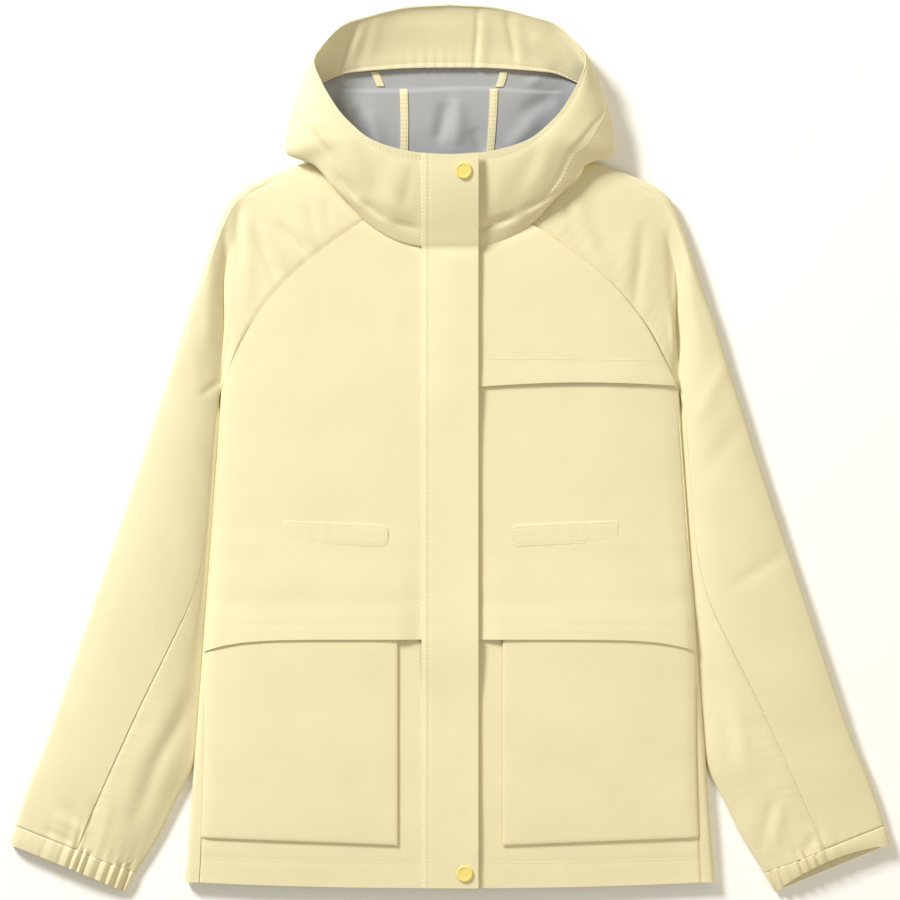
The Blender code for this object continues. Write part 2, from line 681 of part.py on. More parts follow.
def make_sleeves(parent):
    cap_rows = len(RAGLAN_ROWS)
    for side, side_name in SIDE_NAMES.items():
        sections = sleeve_sections(side)
        outer, inner = split_pairs([sleeve_top_line(section) for section in sections[:-1]])
        cloth(f"sleeve_top_{side_name}", outer, inner, CLOTH_SHADE, parent)
        arm = sections[cap_rows:-1]
        outer, inner = split_pairs([sleeve_under_line(section) for section in arm])
        cloth(f"sleeve_under_{side_name}", outer, inner, CLOTH_SHADE, parent)
        make_cuff(side, sections[-2], sections[-1], parent)


def blended_section(first, last, share):
    """Section part of the way between two others."""
    section = SleeveSection(first.side, mixed(first.inner, last.inner, share),
                            mixed(first.outer, last.outer, share),
                            mixed(first.under, last.under, share), 0.0,
                            mixed(first.crown, last.crown, share),
                            mixed(first.fold_top, last.fold_top, share), False)
    return section


def make_cuff(side, stitch, edge, parent):
    """Sleeve hem: a ring of cloth with the elastic's gathers across its inner half."""
    first, last, pleats, depth = CUFF_GATHERS[side]
    pleat_shares = [mixed(last, first, k / (2 * pleats)) for k in range(2 * pleats + 1)]
    shares = [1 - share for share in pleat_shares] + [0.58, 0.7, 0.82, 0.92]
    axis = (stitch.inner + stitch.outer - edge.inner - edge.outer) / 2
    axis = axis / np.linalg.norm(axis)
    lines = []
    for step in (0.0, 0.4, 1.0):
        section = blended_section(stitch, edge, step)
        end = section.width - section.fold_out
        pairs = [section.floor_at(SLEEVE_FOLD_IN, share) for share in (1.0, 0.5)]
        pairs += section.inner_fold()
        for k, share in enumerate(shares):
            across = mixed(SLEEVE_FOLD_IN + 1.0, end, share)
            wave = depth * (0.35 + 0.65 * step) * (1 if k % 2 else -1)
            if k > 2 * pleats:
                wave = 0.0
            back = CUFF_OPENING[side] * step * math.sin(math.pi * share) ** 0.7
            points = [np.array(point) + (side * axis[0] * back, axis[1] * back, wave)
                      for point in section.top(across)]
            pairs.append(points)
        pairs += [section.top(end)] + section.outer_fold()
        pairs += [section.floor_at(end, share) for share in (0.5, 1.0)]
        lines.append([[tuple(point) for point in pair] for pair in pairs])
    outer, inner = split_pairs(lines)
    cloth(f"cuff_{SIDE_NAMES[side]}", outer, inner, CLOTH_SHADE, parent)


# Hood


def hood_line(row):
    """Points of one line of the hood's outer cloth, from the rim down to its foot."""
    _, rim, widest, foot, seam_share, roll = row
    rim, widest, foot = (np.array(point, float) for point in (rim, widest, foot))
    plan_share, rise_share = UNDERSIDE_FLOOR if foot[2] == 0 else UNDERSIDE_NECK
    shares = (0.0, seam_share / 3, 2 * seam_share / 3, seam_share, 1.0)
    points = []
    for share in shares:
        point = mixed(rim, widest, share)
        point[2] += roll * 4 * share * (1 - share)
        points.append(point)
    under = mixed(widest, foot, plan_share)
    under[2] = mixed(foot[2], widest[2], rise_share)
    return points + [under, foot]


def hood_grid(side):
    lines = [hood_line(row) for row in HOOD_ROWS]
    return np.array(lines) * (side, 1, 1)


def inner_of(grid, wall=WALL):
    """Inner side of a curved wall, offset along normals that face away from its hollow."""
    rows_way = np.gradient(grid, axis=0)
    columns_way = np.gradient(grid, axis=1)
    normals = np.cross(rows_way, columns_way)
    normals /= np.linalg.norm(normals, axis=2)[:, :, None]
    return grid - normals * wall


def make_hood_shell(parent):
    """Side and front pieces of the hood, from the rim round the roll to the neck seam."""
    right = hood_grid(RIGHT)
    whole = np.concatenate([right, hood_grid(LEFT)[-2::-1]])
    inner = inner_of(whole)
    if inner[0, 0, 1] > whole[0, 0, 1]:
        inner = 2 * whole - inner
    on_ground = whole[:, -1, 2] == 0
    inner[on_ground, -1, 2] = np.maximum(inner[on_ground, -1, 2], 0.0)
    names = [row[0] for row in HOOD_ROWS]
    first, last = (names.index(name) for name in SIDE_SEAM_ROWS)
    centre = len(HOOD_ROWS) - 1
    seam_column = 3
    columns = whole.shape[1] - 1
    for side, side_name in SIDE_NAMES.items():
        side_cells, front_cells = [], []
        for i in range(centre):
            for j in range(columns):
                in_side = i < first or (i < last and j >= seam_column)
                cell = (i if side == RIGHT else 2 * centre - 1 - i, j)
                (side_cells if in_side else front_cells).append(cell)
        cloth(f"hood_side_{side_name}", whole, inner, CLOTH, parent, side_cells)
        cloth(f"hood_front_{side_name}", whole, inner, CLOTH, parent, front_cells)


def make_hood_centre(parent):
    """The hood's centre back, flat on the ground inside the foot of its sides."""
    stations = [(row[3][1], row[3][0]) for row in HOOD_ROWS[1:10]]
    inset = WALL + 3.2
    rows = [(y - (inset if k == 0 else 0.0), max(out - inset, 20.0))
            for k, (y, out) in enumerate(stations)]
    rows.append((BACK_NECK_Y + 0.4, 118.0))
    outer = [[(share * half, y, 0.0) for share in (-1, -0.5, 0, 0.5, 1)] for y, half in rows]
    inner = np.array(outer) + (0, 0, WALL)
    cloth("hood_centre", outer, inner, CLOTH, parent)


def make_facing(parent):
    """Band of the outer cloth turned in along the brim."""
    lines = []
    for (out, y), row in zip(FACING_EDGE, HOOD_ROWS):
        rim = np.array(row[1], float)
        edge = np.array((out, y, FACING_FLOOR))
        inwards = (edge - rim) * (1, 1, 0)
        start = rim + inwards / np.linalg.norm(inwards) * FACING_SEAT - (0, 0, 0.6)
        line = []
        for share, down in FACING_STEPS:
            point = mixed(start, edge, share)
            point[2] = mixed(start[2], FACING_FLOOR, down)
            line.append(point)
        lines.append(line)
    half = np.array(lines)
    whole = np.concatenate([half[:0:-1] * (-1, 1, 1), half])
    cloth("hood_facing", whole, lowered(whole), CLOTH_SHADE, parent)


def lining_height(share, side_height):
    """Height across the lining: a flat floor that rises at each side."""
    return mixed(LINING_FLOOR, side_height, eased((abs(share) - 0.82) / 0.18))


def make_lining(parent):
    outer = []
    for y, half, side_height in LINING_ROWS:
        outer.append([(share * half, y, lining_height(share, side_height))
                      for share in LINING_ACROSS])
    cloth("hood_lining", outer, lowered(outer, 1.5), LINING_GREY, parent)
    for name, x0, y0, x1, y1 in SEAM_TAPES:
        lines = []
        for share in (0.0, 0.5, 1.0):
            x, y = mixed(x0, x1, share), mixed(y0, y1, share)
            height = LINING_FLOOR + LAYER_GAP + TAPE_THICKNESS
            lines.append([(x + across * TAPE_WIDTH / 2, y, height) for across in (-1, 1)])
        cloth(f"seam_tape_{name}", lines, lowered(lines, TAPE_THICKNESS), CLOTH, parent)


def main():
    remove_objects()
    jacket = bpy.data.objects.new("jacket", None)
    bpy.context.scene.collection.objects.link(jacket)
    make_back(jacket)
    make_fronts(jacket)
    for side in SIDE_NAMES:
        make_waist_tab(side, jacket)
    make_sleeves(jacket)
    make_hood_shell(jacket)
    make_hood_centre(jacket)
    make_facing(jacket)
    make_lining(jacket)
    flap = make_storm_flap(jacket)
    make_snap("snap_upper", 14.3, 294.0, flap, jacket)
    make_snap("snap_lower", 15.4, -449.0, flap, jacket)


main()
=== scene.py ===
"""Looks of a hooded softshell jacket laid flat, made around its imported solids.

Tables and sizes are in millimetres, and MM turns them into metres where a mesh is made.
Sides are the wearer's: RIGHT is -X and LEFT is +X. Tables give distances out from the
centre line, so one table serves both sides.
"""

import json
import math

import bmesh
import bpy
import numpy as np
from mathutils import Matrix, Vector


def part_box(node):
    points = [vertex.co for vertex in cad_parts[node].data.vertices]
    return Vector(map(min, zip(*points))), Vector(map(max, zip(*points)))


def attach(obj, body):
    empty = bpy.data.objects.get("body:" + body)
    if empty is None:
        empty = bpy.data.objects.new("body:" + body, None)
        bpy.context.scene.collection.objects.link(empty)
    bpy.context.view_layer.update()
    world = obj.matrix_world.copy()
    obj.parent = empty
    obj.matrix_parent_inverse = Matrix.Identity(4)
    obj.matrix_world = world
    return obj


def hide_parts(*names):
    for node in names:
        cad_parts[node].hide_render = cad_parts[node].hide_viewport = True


bl_info = {
    "name": "Hooded softshell jacket",
    "version": (1, 0, 0),
    "blender": (4, 5, 0),
    "location": "3D View > Sidebar > Jacket",
    "description": "Cloth, stitching, lining and studio of a hooded jacket laid flat",
    "category": "Object",
}

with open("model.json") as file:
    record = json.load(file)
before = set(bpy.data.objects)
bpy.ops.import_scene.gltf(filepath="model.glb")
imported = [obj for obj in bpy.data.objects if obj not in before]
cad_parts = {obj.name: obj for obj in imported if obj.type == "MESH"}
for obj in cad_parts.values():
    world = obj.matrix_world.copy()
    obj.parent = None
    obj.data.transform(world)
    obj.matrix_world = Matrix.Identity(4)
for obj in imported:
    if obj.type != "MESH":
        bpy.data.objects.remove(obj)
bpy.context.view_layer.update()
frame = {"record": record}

MM = 0.001
RIGHT, LEFT = -1, 1
SIDE_NAMES = {RIGHT: "right", LEFT: "left"}

# Driving sizes
FRONT_LENGTH = 680.0
NECK_Y = 215.0
HEM_Y = NECK_Y - FRONT_LENGTH
UNDERARM_Y = 66.0
BACK_NECK_Y = 291.0
HALF_CHEST = 243.0
HALF_HEM = 282.0
FLARE_POWER = 1.05
SHOULDER_SET_IN = 5.0
STORM_FLAP_HALF = 30.2
POCKET_INNER = 55.7
SNAP_WIDTH = 18.0
SNAPS = {"snap_upper": (14.3, 294.0), "snap_lower": (15.4, -449.0)}
LAYER = 2.2
SIDE_FOLD = 6.0
BODY_RISE = 35.0
SLEEVE_CLEARANCE = -1.0
SLEEVE_FOLD_IN = 4.5
ARMPIT_FOLDS = (1.0, 3.6)  # the inner fold starts small at the armpit
SLEEVE_RISE_IN = 19.0
SLEEVE_RISE_OUT = 22.0
CREASE_HEIGHT = 4.6
CREASE_FADE_Y = 270.0
CREASE_FADE_LENGTH = 28.0
LEFT_SEAM_DROP = 6.0
NECK_BEND = 1.55
CHEST_FLAP_ARCH = 4.0
CAP_CROWN = 20.5
OUTER_FOLD_TOP = 15.0
CUFF_FOLD_TOP = 12.0

# Height of the body's top cloth along the centre: y, height
BODY_CROWN = ((-465, 12.6), (-440, 14.0), (-400, 16.0), (-300, 17.6), (-200, 18.2), (-100, 18.6),
              (0, 19.2), (100, 20.2), (215, 20.8), (245, 21.0))

# Front sections below the underarm:
# name, y at the side seam, y at the centre, bend of the line, width of the back's side strip
FRONT_ROWS = (
    ("hem", -459.0, -465.0, 2.0, 15.0),
    ("hem_stitch", -433.0, -438.5, 2.0, 14.5),
    ("pocket_foot", -411.0, -420.0, 1.0, 13.5),
    ("pocket_low", -372.0, -376.0, 1.0, 12.0),
    ("pocket_middle", -320.0, -320.0, 1.0, 9.5),
    ("pocket_high", -264.0, -262.0, 1.0, 5.5),
    ("overlay_edge", -214.0, -201.0, 7.0, 2.0),
    ("pocket_top", -201.0, -192.0, 7.0, 1.8),
    ("tuck", -186.0, -182.0, 1.0, 1.5),
    ("above_tuck", -155.0, -155.0, 1.0, 1.5),
    ("waist_low", -105.0, -105.0, 1.0, 1.5),
    ("waist_high", -78.0, -78.0, 1.0, 1.5),
    ("rib_low", -25.0, -25.0, 1.0, 1.5),
    ("rib_high", 24.0, 24.0, 1.0, 1.8),
)

# Raglan sections: name, front seam out and y, shoulder fold out and y, back seam out and y,
# y of the front's line at the centre, share of the way to the fold where the crease lies
RAGLAN_ROWS = (
    ("underarm", 241.4, 68.0, 285.7, 123.0, 236.5, 72.0, 67.0, 0.14),
    ("chest_low", 227.0, 104.0, 268.7, 172.8, 224.0, 112.0, 100.0, 0.36),
    ("chest", 207.0, 140.0, 252.9, 221.0, 204.0, 150.0, 130.0, 0.72),
    ("chest_high", 182.0, 172.0, 241.0, 252.0, 178.0, 186.0, 152.0, 0.75),
    ("tip", 166.0, 188.5, 233.0, 267.5, 164.0, 203.0, 164.0, 0.70),
    ("shoulder", 150.0, 202.0, 222.0, 277.0, 150.0, 218.0, 176.0, 0.70),
    ("collarbone", 118.2, 226.0, 188.2, 293.6, 120.0, 250.0, 194.0, 0.70),
    ("by_neck", 104.0, 235.5, 163.0, 303.0, 104.0, 274.0, 203.0, 0.70),
    ("neck", 84.5, 246.8, 140.0, 306.0, 92.0, 290.6, NECK_Y + 8.0, 0.70),
)

# Sleeve sections below the underarm: name, out and y of the inner fold (None lies along the
# body), out and y of the outer fold, share of the width where the top seam runs, crown height
ARM_ROWS = (
    ("armpit", None, 63.5, 294.7, 93.0, 0.0, 19.0),
    ("arm_1", None, 31.8, 303.7, 65.7, 0.0, 20.0),
    ("arm_2", None, -26.5, 323.8, 2.1, 0.0, 21.0),
    ("arm_3", None, -90.1, 347.2, -68.9, 0.0, 21.5),
    ("arm_4", None, -153.7, 368.4, -131.4, 0.13, 21.5),
    ("arm_5", None, -217.3, 389.6, -195.0, 0.29, 21.0),
    ("arm_6", None, -280.9, 410.8, -258.6, 0.43, 20.5),
    ("arm_7", 274.0, -337.1, 429.8, -312.7, 0.51, 19.5),
    ("arm_8", 292.0, -374.2, 444.7, -348.7, 0.51, 18.5),
    ("arm_9", 310.1, -411.3, 455.3, -377.4, 0.51, 17.5),
    ("cuff_stitch", 333.4, -449.0, 461.6, -398.6, 0.49, 16.5),
    ("cuff_edge", 345.0, -469.6, 468.0, -418.7, 0.50, 15.0),
)
SLEEVE_TOP_SHARES = (0.14, 0.32, 0.52, 0.72, 0.88, 1.0)
CUFF_OPENING = {RIGHT: 1.0, LEFT: 9.0}  # how far the top edge draws back up the sleeve

# Hood outline from the brim's top to the chin: out, y and height of the rim, of the widest
# point and of the foot, share of the width where the side seam runs, height of the roll
HOOD_ROWS = (
    ("brim_1", (0.0, 472.0, 24.0), (0.0, 470.0, 10.0), (0.0, 461.0, 0.0), 0.80, 0.0),
    ("brim_2", (48.2, 468.5, 25.0), (48.2, 466.5, 10.0), (46.0, 458.0, 0.0), 0.80, 0.0),
    ("brim_3", (86.4, 459.0, 27.0), (87.5, 457.0, 11.0), (83.0, 448.5, 0.0), 0.80, 0.0),
    ("brim_4", (111.8, 450.5, 30.0), (115.0, 446.5, 13.0), (109.7, 438.0, 0.0), 0.80, 0.0),
    ("brim_5", (130.9, 432.5, 33.0), (138.3, 427.5, 15.0), (130.9, 420.0, 0.0), 0.80, 1.0),
    ("corner", (143.6, 411.3, 37.0), (154.2, 403.0, 18.0), (145.7, 397.0, 0.0), 0.80, 3.0),
    ("cheek_1", (136.2, 390.0, 42.0), (161.6, 380.5, 20.0), (153.0, 375.0, 0.0), 0.82, 5.0),
    ("cheek_2", (124.5, 368.9, 46.0), (169.0, 358.3, 22.0), (159.5, 354.0, 0.0), 0.85, 6.0),
    ("cheek_3", (112.9, 353.0, 48.0), (173.3, 335.0, 23.0), (162.7, 331.8, 0.0), 0.62, 7.0),
    ("cheek_4", (101.2, 341.3, 49.0), (173.3, 316.0, 25.0), (158.0, 314.0, 0.0), 0.53, 7.0),
    ("jaw_1", (88.5, 330.7, 50.0), (144.7, 303.2, 30.0), (133.0, 296.0, 20.5), 0.66, 6.0),
    ("jaw_2", (73.7, 323.3, 50.0), (122.4, 277.7, 31.0), (111.8, 267.1, 21.8), 0.82, 5.0),
    ("jaw_3", (56.7, 318.0, 49.5), (92.8, 254.4, 30.0), (88.5, 241.5, 22.0), 0.92, 4.0),
    ("chin_1", (42.0, 314.8, 49.0), (61.0, 238.5, 29.0), (58.0, 223.0, 22.0), 0.80, 4.0),
    ("chin_2", (STORM_FLAP_HALF, 313.2, 48.5), (STORM_FLAP_HALF, 231.5, 28.0),
     (STORM_FLAP_HALF, 216.0, 22.0), 0.80, 3.0),
    ("chin_3", (0.0, 311.6, 48.5), (0.0, 231.0, 28.0), (0.0, 216.0, 22.0), 0.80, 3.0),
)
SIDE_SEAM_ROWS = ("cheek_2", "jaw_3")  # the lines that the side seam runs between
SEAM_COLUMN = 3
HOOD_SEAM_GAP = 0.01
HOOD_SEAM_END = 14.0
UNDERSIDE_FLOOR = (0.55, 0.45)  # on the ground: shares of the way in to the foot and of the height
UNDERSIDE_NECK = (0.85, 0.18)  # the same above the neck seam

# Facing: out and y of its lower edge below each line of the rim, then shares across and down
FACING_EDGE = ((0.0, 406.0), (41.9, 405.5), (68.4, 404.0), (92.8, 402.0), (112.9, 399.0),
               (139.5, 387.5))
FACING_STEPS = ((0.0, 0.0), (0.35, 0.50), (0.70, 0.85), (1.0, 1.0))
FACING_FLOOR = 9.5
FACING_ROLL = ((0.3, 0.5), (2.2, -0.8))  # in from the rim and up, where it rolls over

# Lining: y, half width and height at its sides
LINING_ROWS = ((412.0, 116.0, 4.2), (394.0, 133.0, 5.5), (364.0, 156.0, 13.0),
               (336.0, 164.0, 16.0), (316.0, 158.0, 16.0), (297.0, 122.0, 14.0))
LINING_ACROSS = (-1.0, -0.94, -0.85, -0.5, -0.2, 0.2, 0.5, 0.85, 0.94, 1.0)
LINING_FLOOR = 3.7
LINING_LEDGE_Y = 383.5  # the lower part of the lining lies in a fold over the upper part
LINING_LEDGE_RISE = 2.4
SEAM_TAPES = (
    ("upper_right", -81.0, 402.0, -74.0, 386.5),
    ("lower_right", -49.3, 384.0, -49.3, 308.0),
    ("upper_left", 56.7, 402.0, 52.0, 386.0),
    ("lower_left", 46.5, 384.0, 41.5, 308.0),
)
TAPE_WIDTH = 8.5

# Waist channel tabs
TAB_INNER = 66.0
TAB_OUTER = 178.0
TAB_MIDDLE_Y = -91.5
TAB_HALF_HEIGHT = 12.5
TAB_RISE = 5.0

# Soft folds of the body and sleeves: from x and y, to x and y, half width, height
FOLDS = (
    # shoulder seams
    (-222, 270, -170, 295, 1.8, -0.6),
    (222, 270, 170, 295, 1.8, -0.6),
    # wearer's right shoulder
    (-222, 262, -222, 204, 5, -1.6),
    (-212, 250, -216, 160, 8, 1.3),
    (-205, 232, -184, 180, 3.4, -1.5),
    (-196, 240, -174, 192, 4, 1.0),
    (-178, 240, -151, 205, 3.2, -1.6),
    (-168, 252, -140, 216, 5, 1.0),
    (-152, 258, -136, 230, 3.2, -0.9),
    (-132, 262, -124, 240, 3.2, -0.7),
    (-236, 232, -241, 80, 4, -2.0),
    (-250, 222, -262, 110, 8, 1.2),
    (-262, 60, -243, 76, 4, -1.1),
    (-284, 130, -262, 60, 9, 1.0),
    (-306, 60, -262, 0, 10, 0.8),
    # wearer's left shoulder
    (118, 262, 148, 212, 5, -1.2),
    (131, 262, 160, 212, 6, 0.9),
    (146, 260, 174, 208, 5, -1.2),
    (207, 240, 196, 154, 5, -1.4),
    (194, 236, 186, 178, 8, 0.9),
    (234, 232, 241, 80, 4, -2.0),
    (250, 222, 262, 110, 8, 1.2),
    (296, 96, 262, 30, 9, 0.9),
    (314, 30, 268, -30, 11, -0.8),
    # down the wearer's right sleeve
    (-330, -40, -275, -80, 20, -0.7),
    (-280, -262, -334, -398, 8, -2.4),
    (-300, -262, -352, -392, 11, 1.0),
    (-358, -362, -368, -430, 5, 0.8),
    (-374, -372, -382, -424, 5, -0.8),
    (-428, -402, -396, -420, 4, -1.0),
    (-420, -386, -386, -408, 5, 0.8),
    (-410, -376, -392, -398, 4, -0.6),
    # down the wearer's left sleeve
    (298, -148, 360, -108, 8, -0.7),
    (276, -225, 314, -392, 8, -2.0),
    (296, -262, 318, -360, 9, 1.0),
    (343, -374, 331, -430, 5, -1.6),
    (354, -370, 344, -424, 6, 1.1),
    (386, -410, 376, -430, 4, -1.2),
    (398, -410, 392, -432, 5, 0.7),
    # broad waves in the fronts
    (-150, 150, -60, 130, 34, -0.5),
    (60, 150, 170, 60, 30, -0.5),
    (-200, -120, -90, -150, 26, 0.4),
    (-120, -300, -190, -380, 34, 0.5),
    (110, -260, 200, -380, 34, 0.5),
    (-34, 190, -70, 120, 16, 0.4),
)

# Folds of the hood's outer cloth
HOOD_FOLDS = (
    (-118, 330, -88, 272, 9, 1.2),
    (-98, 326, -74, 276, 7, -1.3),
    (-64, 306, -58, 256, 9, 0.9),
    (-44, 300, -48, 256, 6, -0.9),
    (112, 330, 84, 268, 9, 1.0),
    (92, 318, 66, 268, 8, -1.2),
    (52, 296, 46, 250, 9, 0.8),
    (-158, 372, -140, 330, 10, 1.2),
    (-150, 336, -124, 304, 6, -1.2),
    (158, 372, 150, 322, 10, 1.2),
    (-60, 240, -30, 234, 4, -3.2),
    (-92, 262, -64, 243, 4, -2.4),
    (-122, 288, -96, 266, 5, -1.8),
    (-88, 268, -40, 250, 7, 1.2),
    (30, 234, 72, 247, 4.5, -3.8),
    (77, 250, 112, 269, 4, -1.8),
)

# Folds of the facing, and of the lining behind it
FACING_FOLDS = (
    (29, 469, 30, 392, 2.6, -1.6),
    (36, 469, 38, 400, 6, 1.0),
    (-100, 448, -115, 400, 4, -2.4),
    (-90, 452, -104, 402, 5, 1.2),
    (-76, 462, -84, 410, 7, 0.9),
    (59, 461, 73, 412, 3.5, -2.0),
    (68, 460, 82, 412, 6, 1.2),
    (86, 438, 114, 402, 7, 2.0),
    (106, 446, 130, 404, 4, -1.6),
    (-60, 452, 10, 440, 16, 0.7),
)
LINING_FOLDS = (
    (-6, 372, -14, 330, 7, -1.6),
    (8, 376, 6, 326, 8, 1.4),
    (-106, 362, -88, 322, 9, -2.2),
    (-88, 360, -74, 320, 8, 1.2),
    (74, 356, 116, 378, 8, -1.6),
    (92, 350, 60, 318, 9, 1.4),
    (22, 344, 34, 316, 7, -1.2),
    (-120, 392, -104, 384, 5, 1.4),
    (100, 392, 84, 386, 5, 1.0),
)

# Gathers at the elastic, measured from the cuff's inner end: place, height, width, reach
CUFF_GATHERS = {
    RIGHT: ((4, 1.6, 2.2, 20), (8, -2.4, 1.6, 30), (13, 2.0, 2.0, 16), (18, -2.6, 1.6, 26),
            (23, 2.0, 2.0, 18), (28, -2.2, 1.5, 18), (33, 1.4, 2.4, 26), (39, -1.6, 1.8, 34),
            (46, 1.2, 3.0, 20), (53, -2.2, 1.6, 26), (57, 2.0, 1.8, 16), (61, -2.6, 1.5, 30),
            (65, 2.0, 1.8, 16), (69, -2.2, 1.5, 20), (74, 1.3, 2.4, 14), (81, -1.2, 2.0, 22),
            (92, 0.7, 4.0, 20), (101, -0.7, 2.6, 16)),
    LEFT: ((3, 1.5, 2.0, 18), (7, -2.6, 1.6, 34), (11, 2.0, 1.9, 16), (16, -2.4, 1.6, 22),
           (21, 1.4, 2.4, 20), (28, -1.0, 2.6, 20), (34, 1.7, 2.2, 24), (39, -2.6, 1.6, 40),
           (44, 2.2, 1.9, 18), (49, -2.4, 1.6, 28), (53, 1.8, 1.9, 16), (58, -2.4, 1.6, 30),
           (63, 1.6, 2.2, 16), (69, -1.6, 1.8, 20), (77, 0.9, 3.0, 18), (86, -0.9, 2.4, 16)),
}
GATHER_STRENGTH = 0.8

# Mesh steps
CLOTH_STEP = 3.6
BACK_STEP = 8.0
HOOD_STEP = 3.0
CUFF_STEP = 1.1
SLEEVE_STEP = 2.2
TAB_STEP = 2.2
FLAP_STEP = 1.5
FACING_STEP = 2.0
LINING_STEP = 2.0
TAPE_STEP = 1.6
EDGE_STEP = 0.6
EDGE_SPREAD = 0.25  # how fast the mesh steps grow away from an edge

# Cloth and sewing
WALL = 1.4
FLAP_WALL = 1.6
TAB_WALL = 1.1
LINING_WALL = 1.0
TAPE_WALL = 0.9
SEAM_GAP = 0.12
SEAM_DIP = 1.2
SEAM_DIP_WIDTH = 1.1
HEM_STITCH = 25.5
CHEST_FLAP_STITCH = 26.0
STORM_FLAP_STITCHES = (2.6, 7.6)
TAB_STITCH = 2.6
CUFF_STITCH = 2.2
RIM_STITCH = 4.0
HOOD_SEAM_STITCH = 3.4
FACING_STITCH = 3.6
TAPE_STITCH = 1.9
PUCKER = 0.16
PUCKER_REACH = 9.0

# Studio, in metres: place, size and colour of each light
KEY_LIGHT = ((-3.1, 3.5, 2.7), 1.3, (1.0, 1.0, 0.99))
FILL_LIGHT = ((2.8, -1.6, 3.6), 3.4, (1.0, 0.92, 0.74))
ROOM_COLOUR = (1.0, 0.93, 0.78, 1.0)
FLOOR_HALF = 4.0
FLOOR_DROP = 0.0004
SENSOR_WIDTH = 36.0
SIGHT = 20.0


# Small sums


def along(table, at):
    """Value of a two-column table at a station, straight between its rows."""
    stations, values = zip(*sorted(table))
    return float(np.interp(at, stations, values))


def eased(share):
    """Share from 0 to 1 with soft ends."""
    share = np.clip(share, 0.0, 1.0)
    return share * share * (3 - 2 * share)


def mixed(first, last, share):
    return first + (last - first) * share


def rising(distance, length):
    """Share of the full height reached at a distance from a fold."""
    return 1 - math.exp(-max(distance, 0.0) / length)


def body_half_width(y):
    """Distance from the centre line to the body's side fold."""
    down = min(max((UNDERARM_Y - y) / (UNDERARM_Y - HEM_Y), 0.0), 1.0)
    up = min(max((y - UNDERARM_Y) / 120.0, 0.0), 1.0)
    return HALF_CHEST + (HALF_HEM - HALF_CHEST) * down**FLARE_POWER - SHOULDER_SET_IN * up


def body_height(x, y):
    """Height of the body's top cloth without its folds."""
    inside = body_half_width(y) - abs(x) - SIDE_FOLD
    fold_top = 2 * SIDE_FOLD
    if inside < 0:
        return SIDE_FOLD + math.sqrt(max(SIDE_FOLD**2 - inside**2, 0.0))
    return fold_top + (along(BODY_CROWN, y) - fold_top) * rising(inside, BODY_RISE)


def folds_height(table, x, y):
    """Height that a table of soft folds adds at many points, a little uneven."""
    x = x + 2.2 * np.sin(y / 31 + 0.7) + 1.1 * np.sin(y / 13 + 2.0)
    y = y + 2.4 * np.sin(x / 37 + 1.9)
    total = np.zeros_like(x)
    for x0, y0, x1, y1, half_width, height in table:
        run_x, run_y = x1 - x0, y1 - y0
        share = ((x - x0) * run_x + (y - y0) * run_y) / (run_x**2 + run_y**2)
        share = np.clip(share, 0, 1)
        distance = np.hypot(x - x0 - share * run_x, y - y0 - share * run_y)
        ends = 1 - 0.75 * np.abs(2 * share - 1) ** 3
        total += height * ends * np.exp(-((distance / half_width) ** 2))
    return total


def wander(x, y):
    """Faint unevenness of cloth that lies loose."""
    slow = np.sin(x / 47 + 0.9 * np.sin(y / 61) + 1.3) * np.sin(y / 83 + 0.7)
    middle = np.sin((x + y) / 29 + 1.1 * np.sin(x / 43)) * np.sin((x - 1.7 * y) / 53 + 2.1)
    quick = np.sin(x / 11.3 + 2.2 * np.sin(y / 37)) * np.sin(y / 17.9 + 1.4 * np.sin(x / 23))
    return 0.40 * slow + 0.22 * middle + 0.05 * quick


def relief(x, y):
    """Folds and unevenness shared by all layers of the body and the sleeves."""
    strength = bpy.context.scene.jacket_cloth.fold_strength
    return strength * (folds_height(FOLDS, x, y) + wander(x, y))


def cuff_gathers(side, x, y):
    """Height of the elastic's gathers, strongest at the cuff and dying away up the sleeve."""
    stitch = ARM_ROWS[-2]
    inner = np.array(stitch[1:3])
    outer = np.array(stitch[3:5])
    run = (outer - inner) / np.linalg.norm(outer - inner)
    out, up = side * x - inner[0], y - inner[1]
    place = out * run[0] + up * run[1]
    above = np.maximum(up * run[0] - out * run[1], 0.0)
    total = np.zeros_like(x)
    for middle, height, width, reach in CUFF_GATHERS[side]:
        spread = width * (1 + above / 30)
        drift = place - middle - 0.10 * above
        total += height * np.exp(-((drift / spread) ** 2) - above / reach)
    return GATHER_STRENGTH * total


# Close grids of points


def chord_stations(control, axis):
    """Mean distance along one axis of a grid of control points."""
    steps = np.linalg.norm(np.diff(control[:, :, :3], axis=axis), axis=2).mean(axis=1 - axis)
    return np.concatenate([[0.0], np.cumsum(steps)])


def fine_stations(coarse, spacing, dense):
    """Stations that keep the coarse ones and close up near the dense ones."""
    fine, marks = [coarse[0]], [0]
    for start, end in zip(coarse, coarse[1:]):
        place, steps = start, []
        while place < end - 0.2:
            near = min([abs(place - coarse[k]) for k in dense], default=math.inf)
            steps.append(min(spacing, EDGE_STEP + EDGE_SPREAD * near))
            place += steps[-1]
        fine.extend(start + np.cumsum(steps) * (end - start) / sum(steps))
        marks.append(len(fine) - 1)
    return np.array(fine), marks


def shortened(tangents, chord):
    """Tangents no longer than a share of the chord they serve, so that no line loops."""
    length = np.linalg.norm(tangents, axis=-1, keepdims=True)
    return tangents * np.minimum(1.0, 1.4 * chord / np.maximum(length, 1e-9))


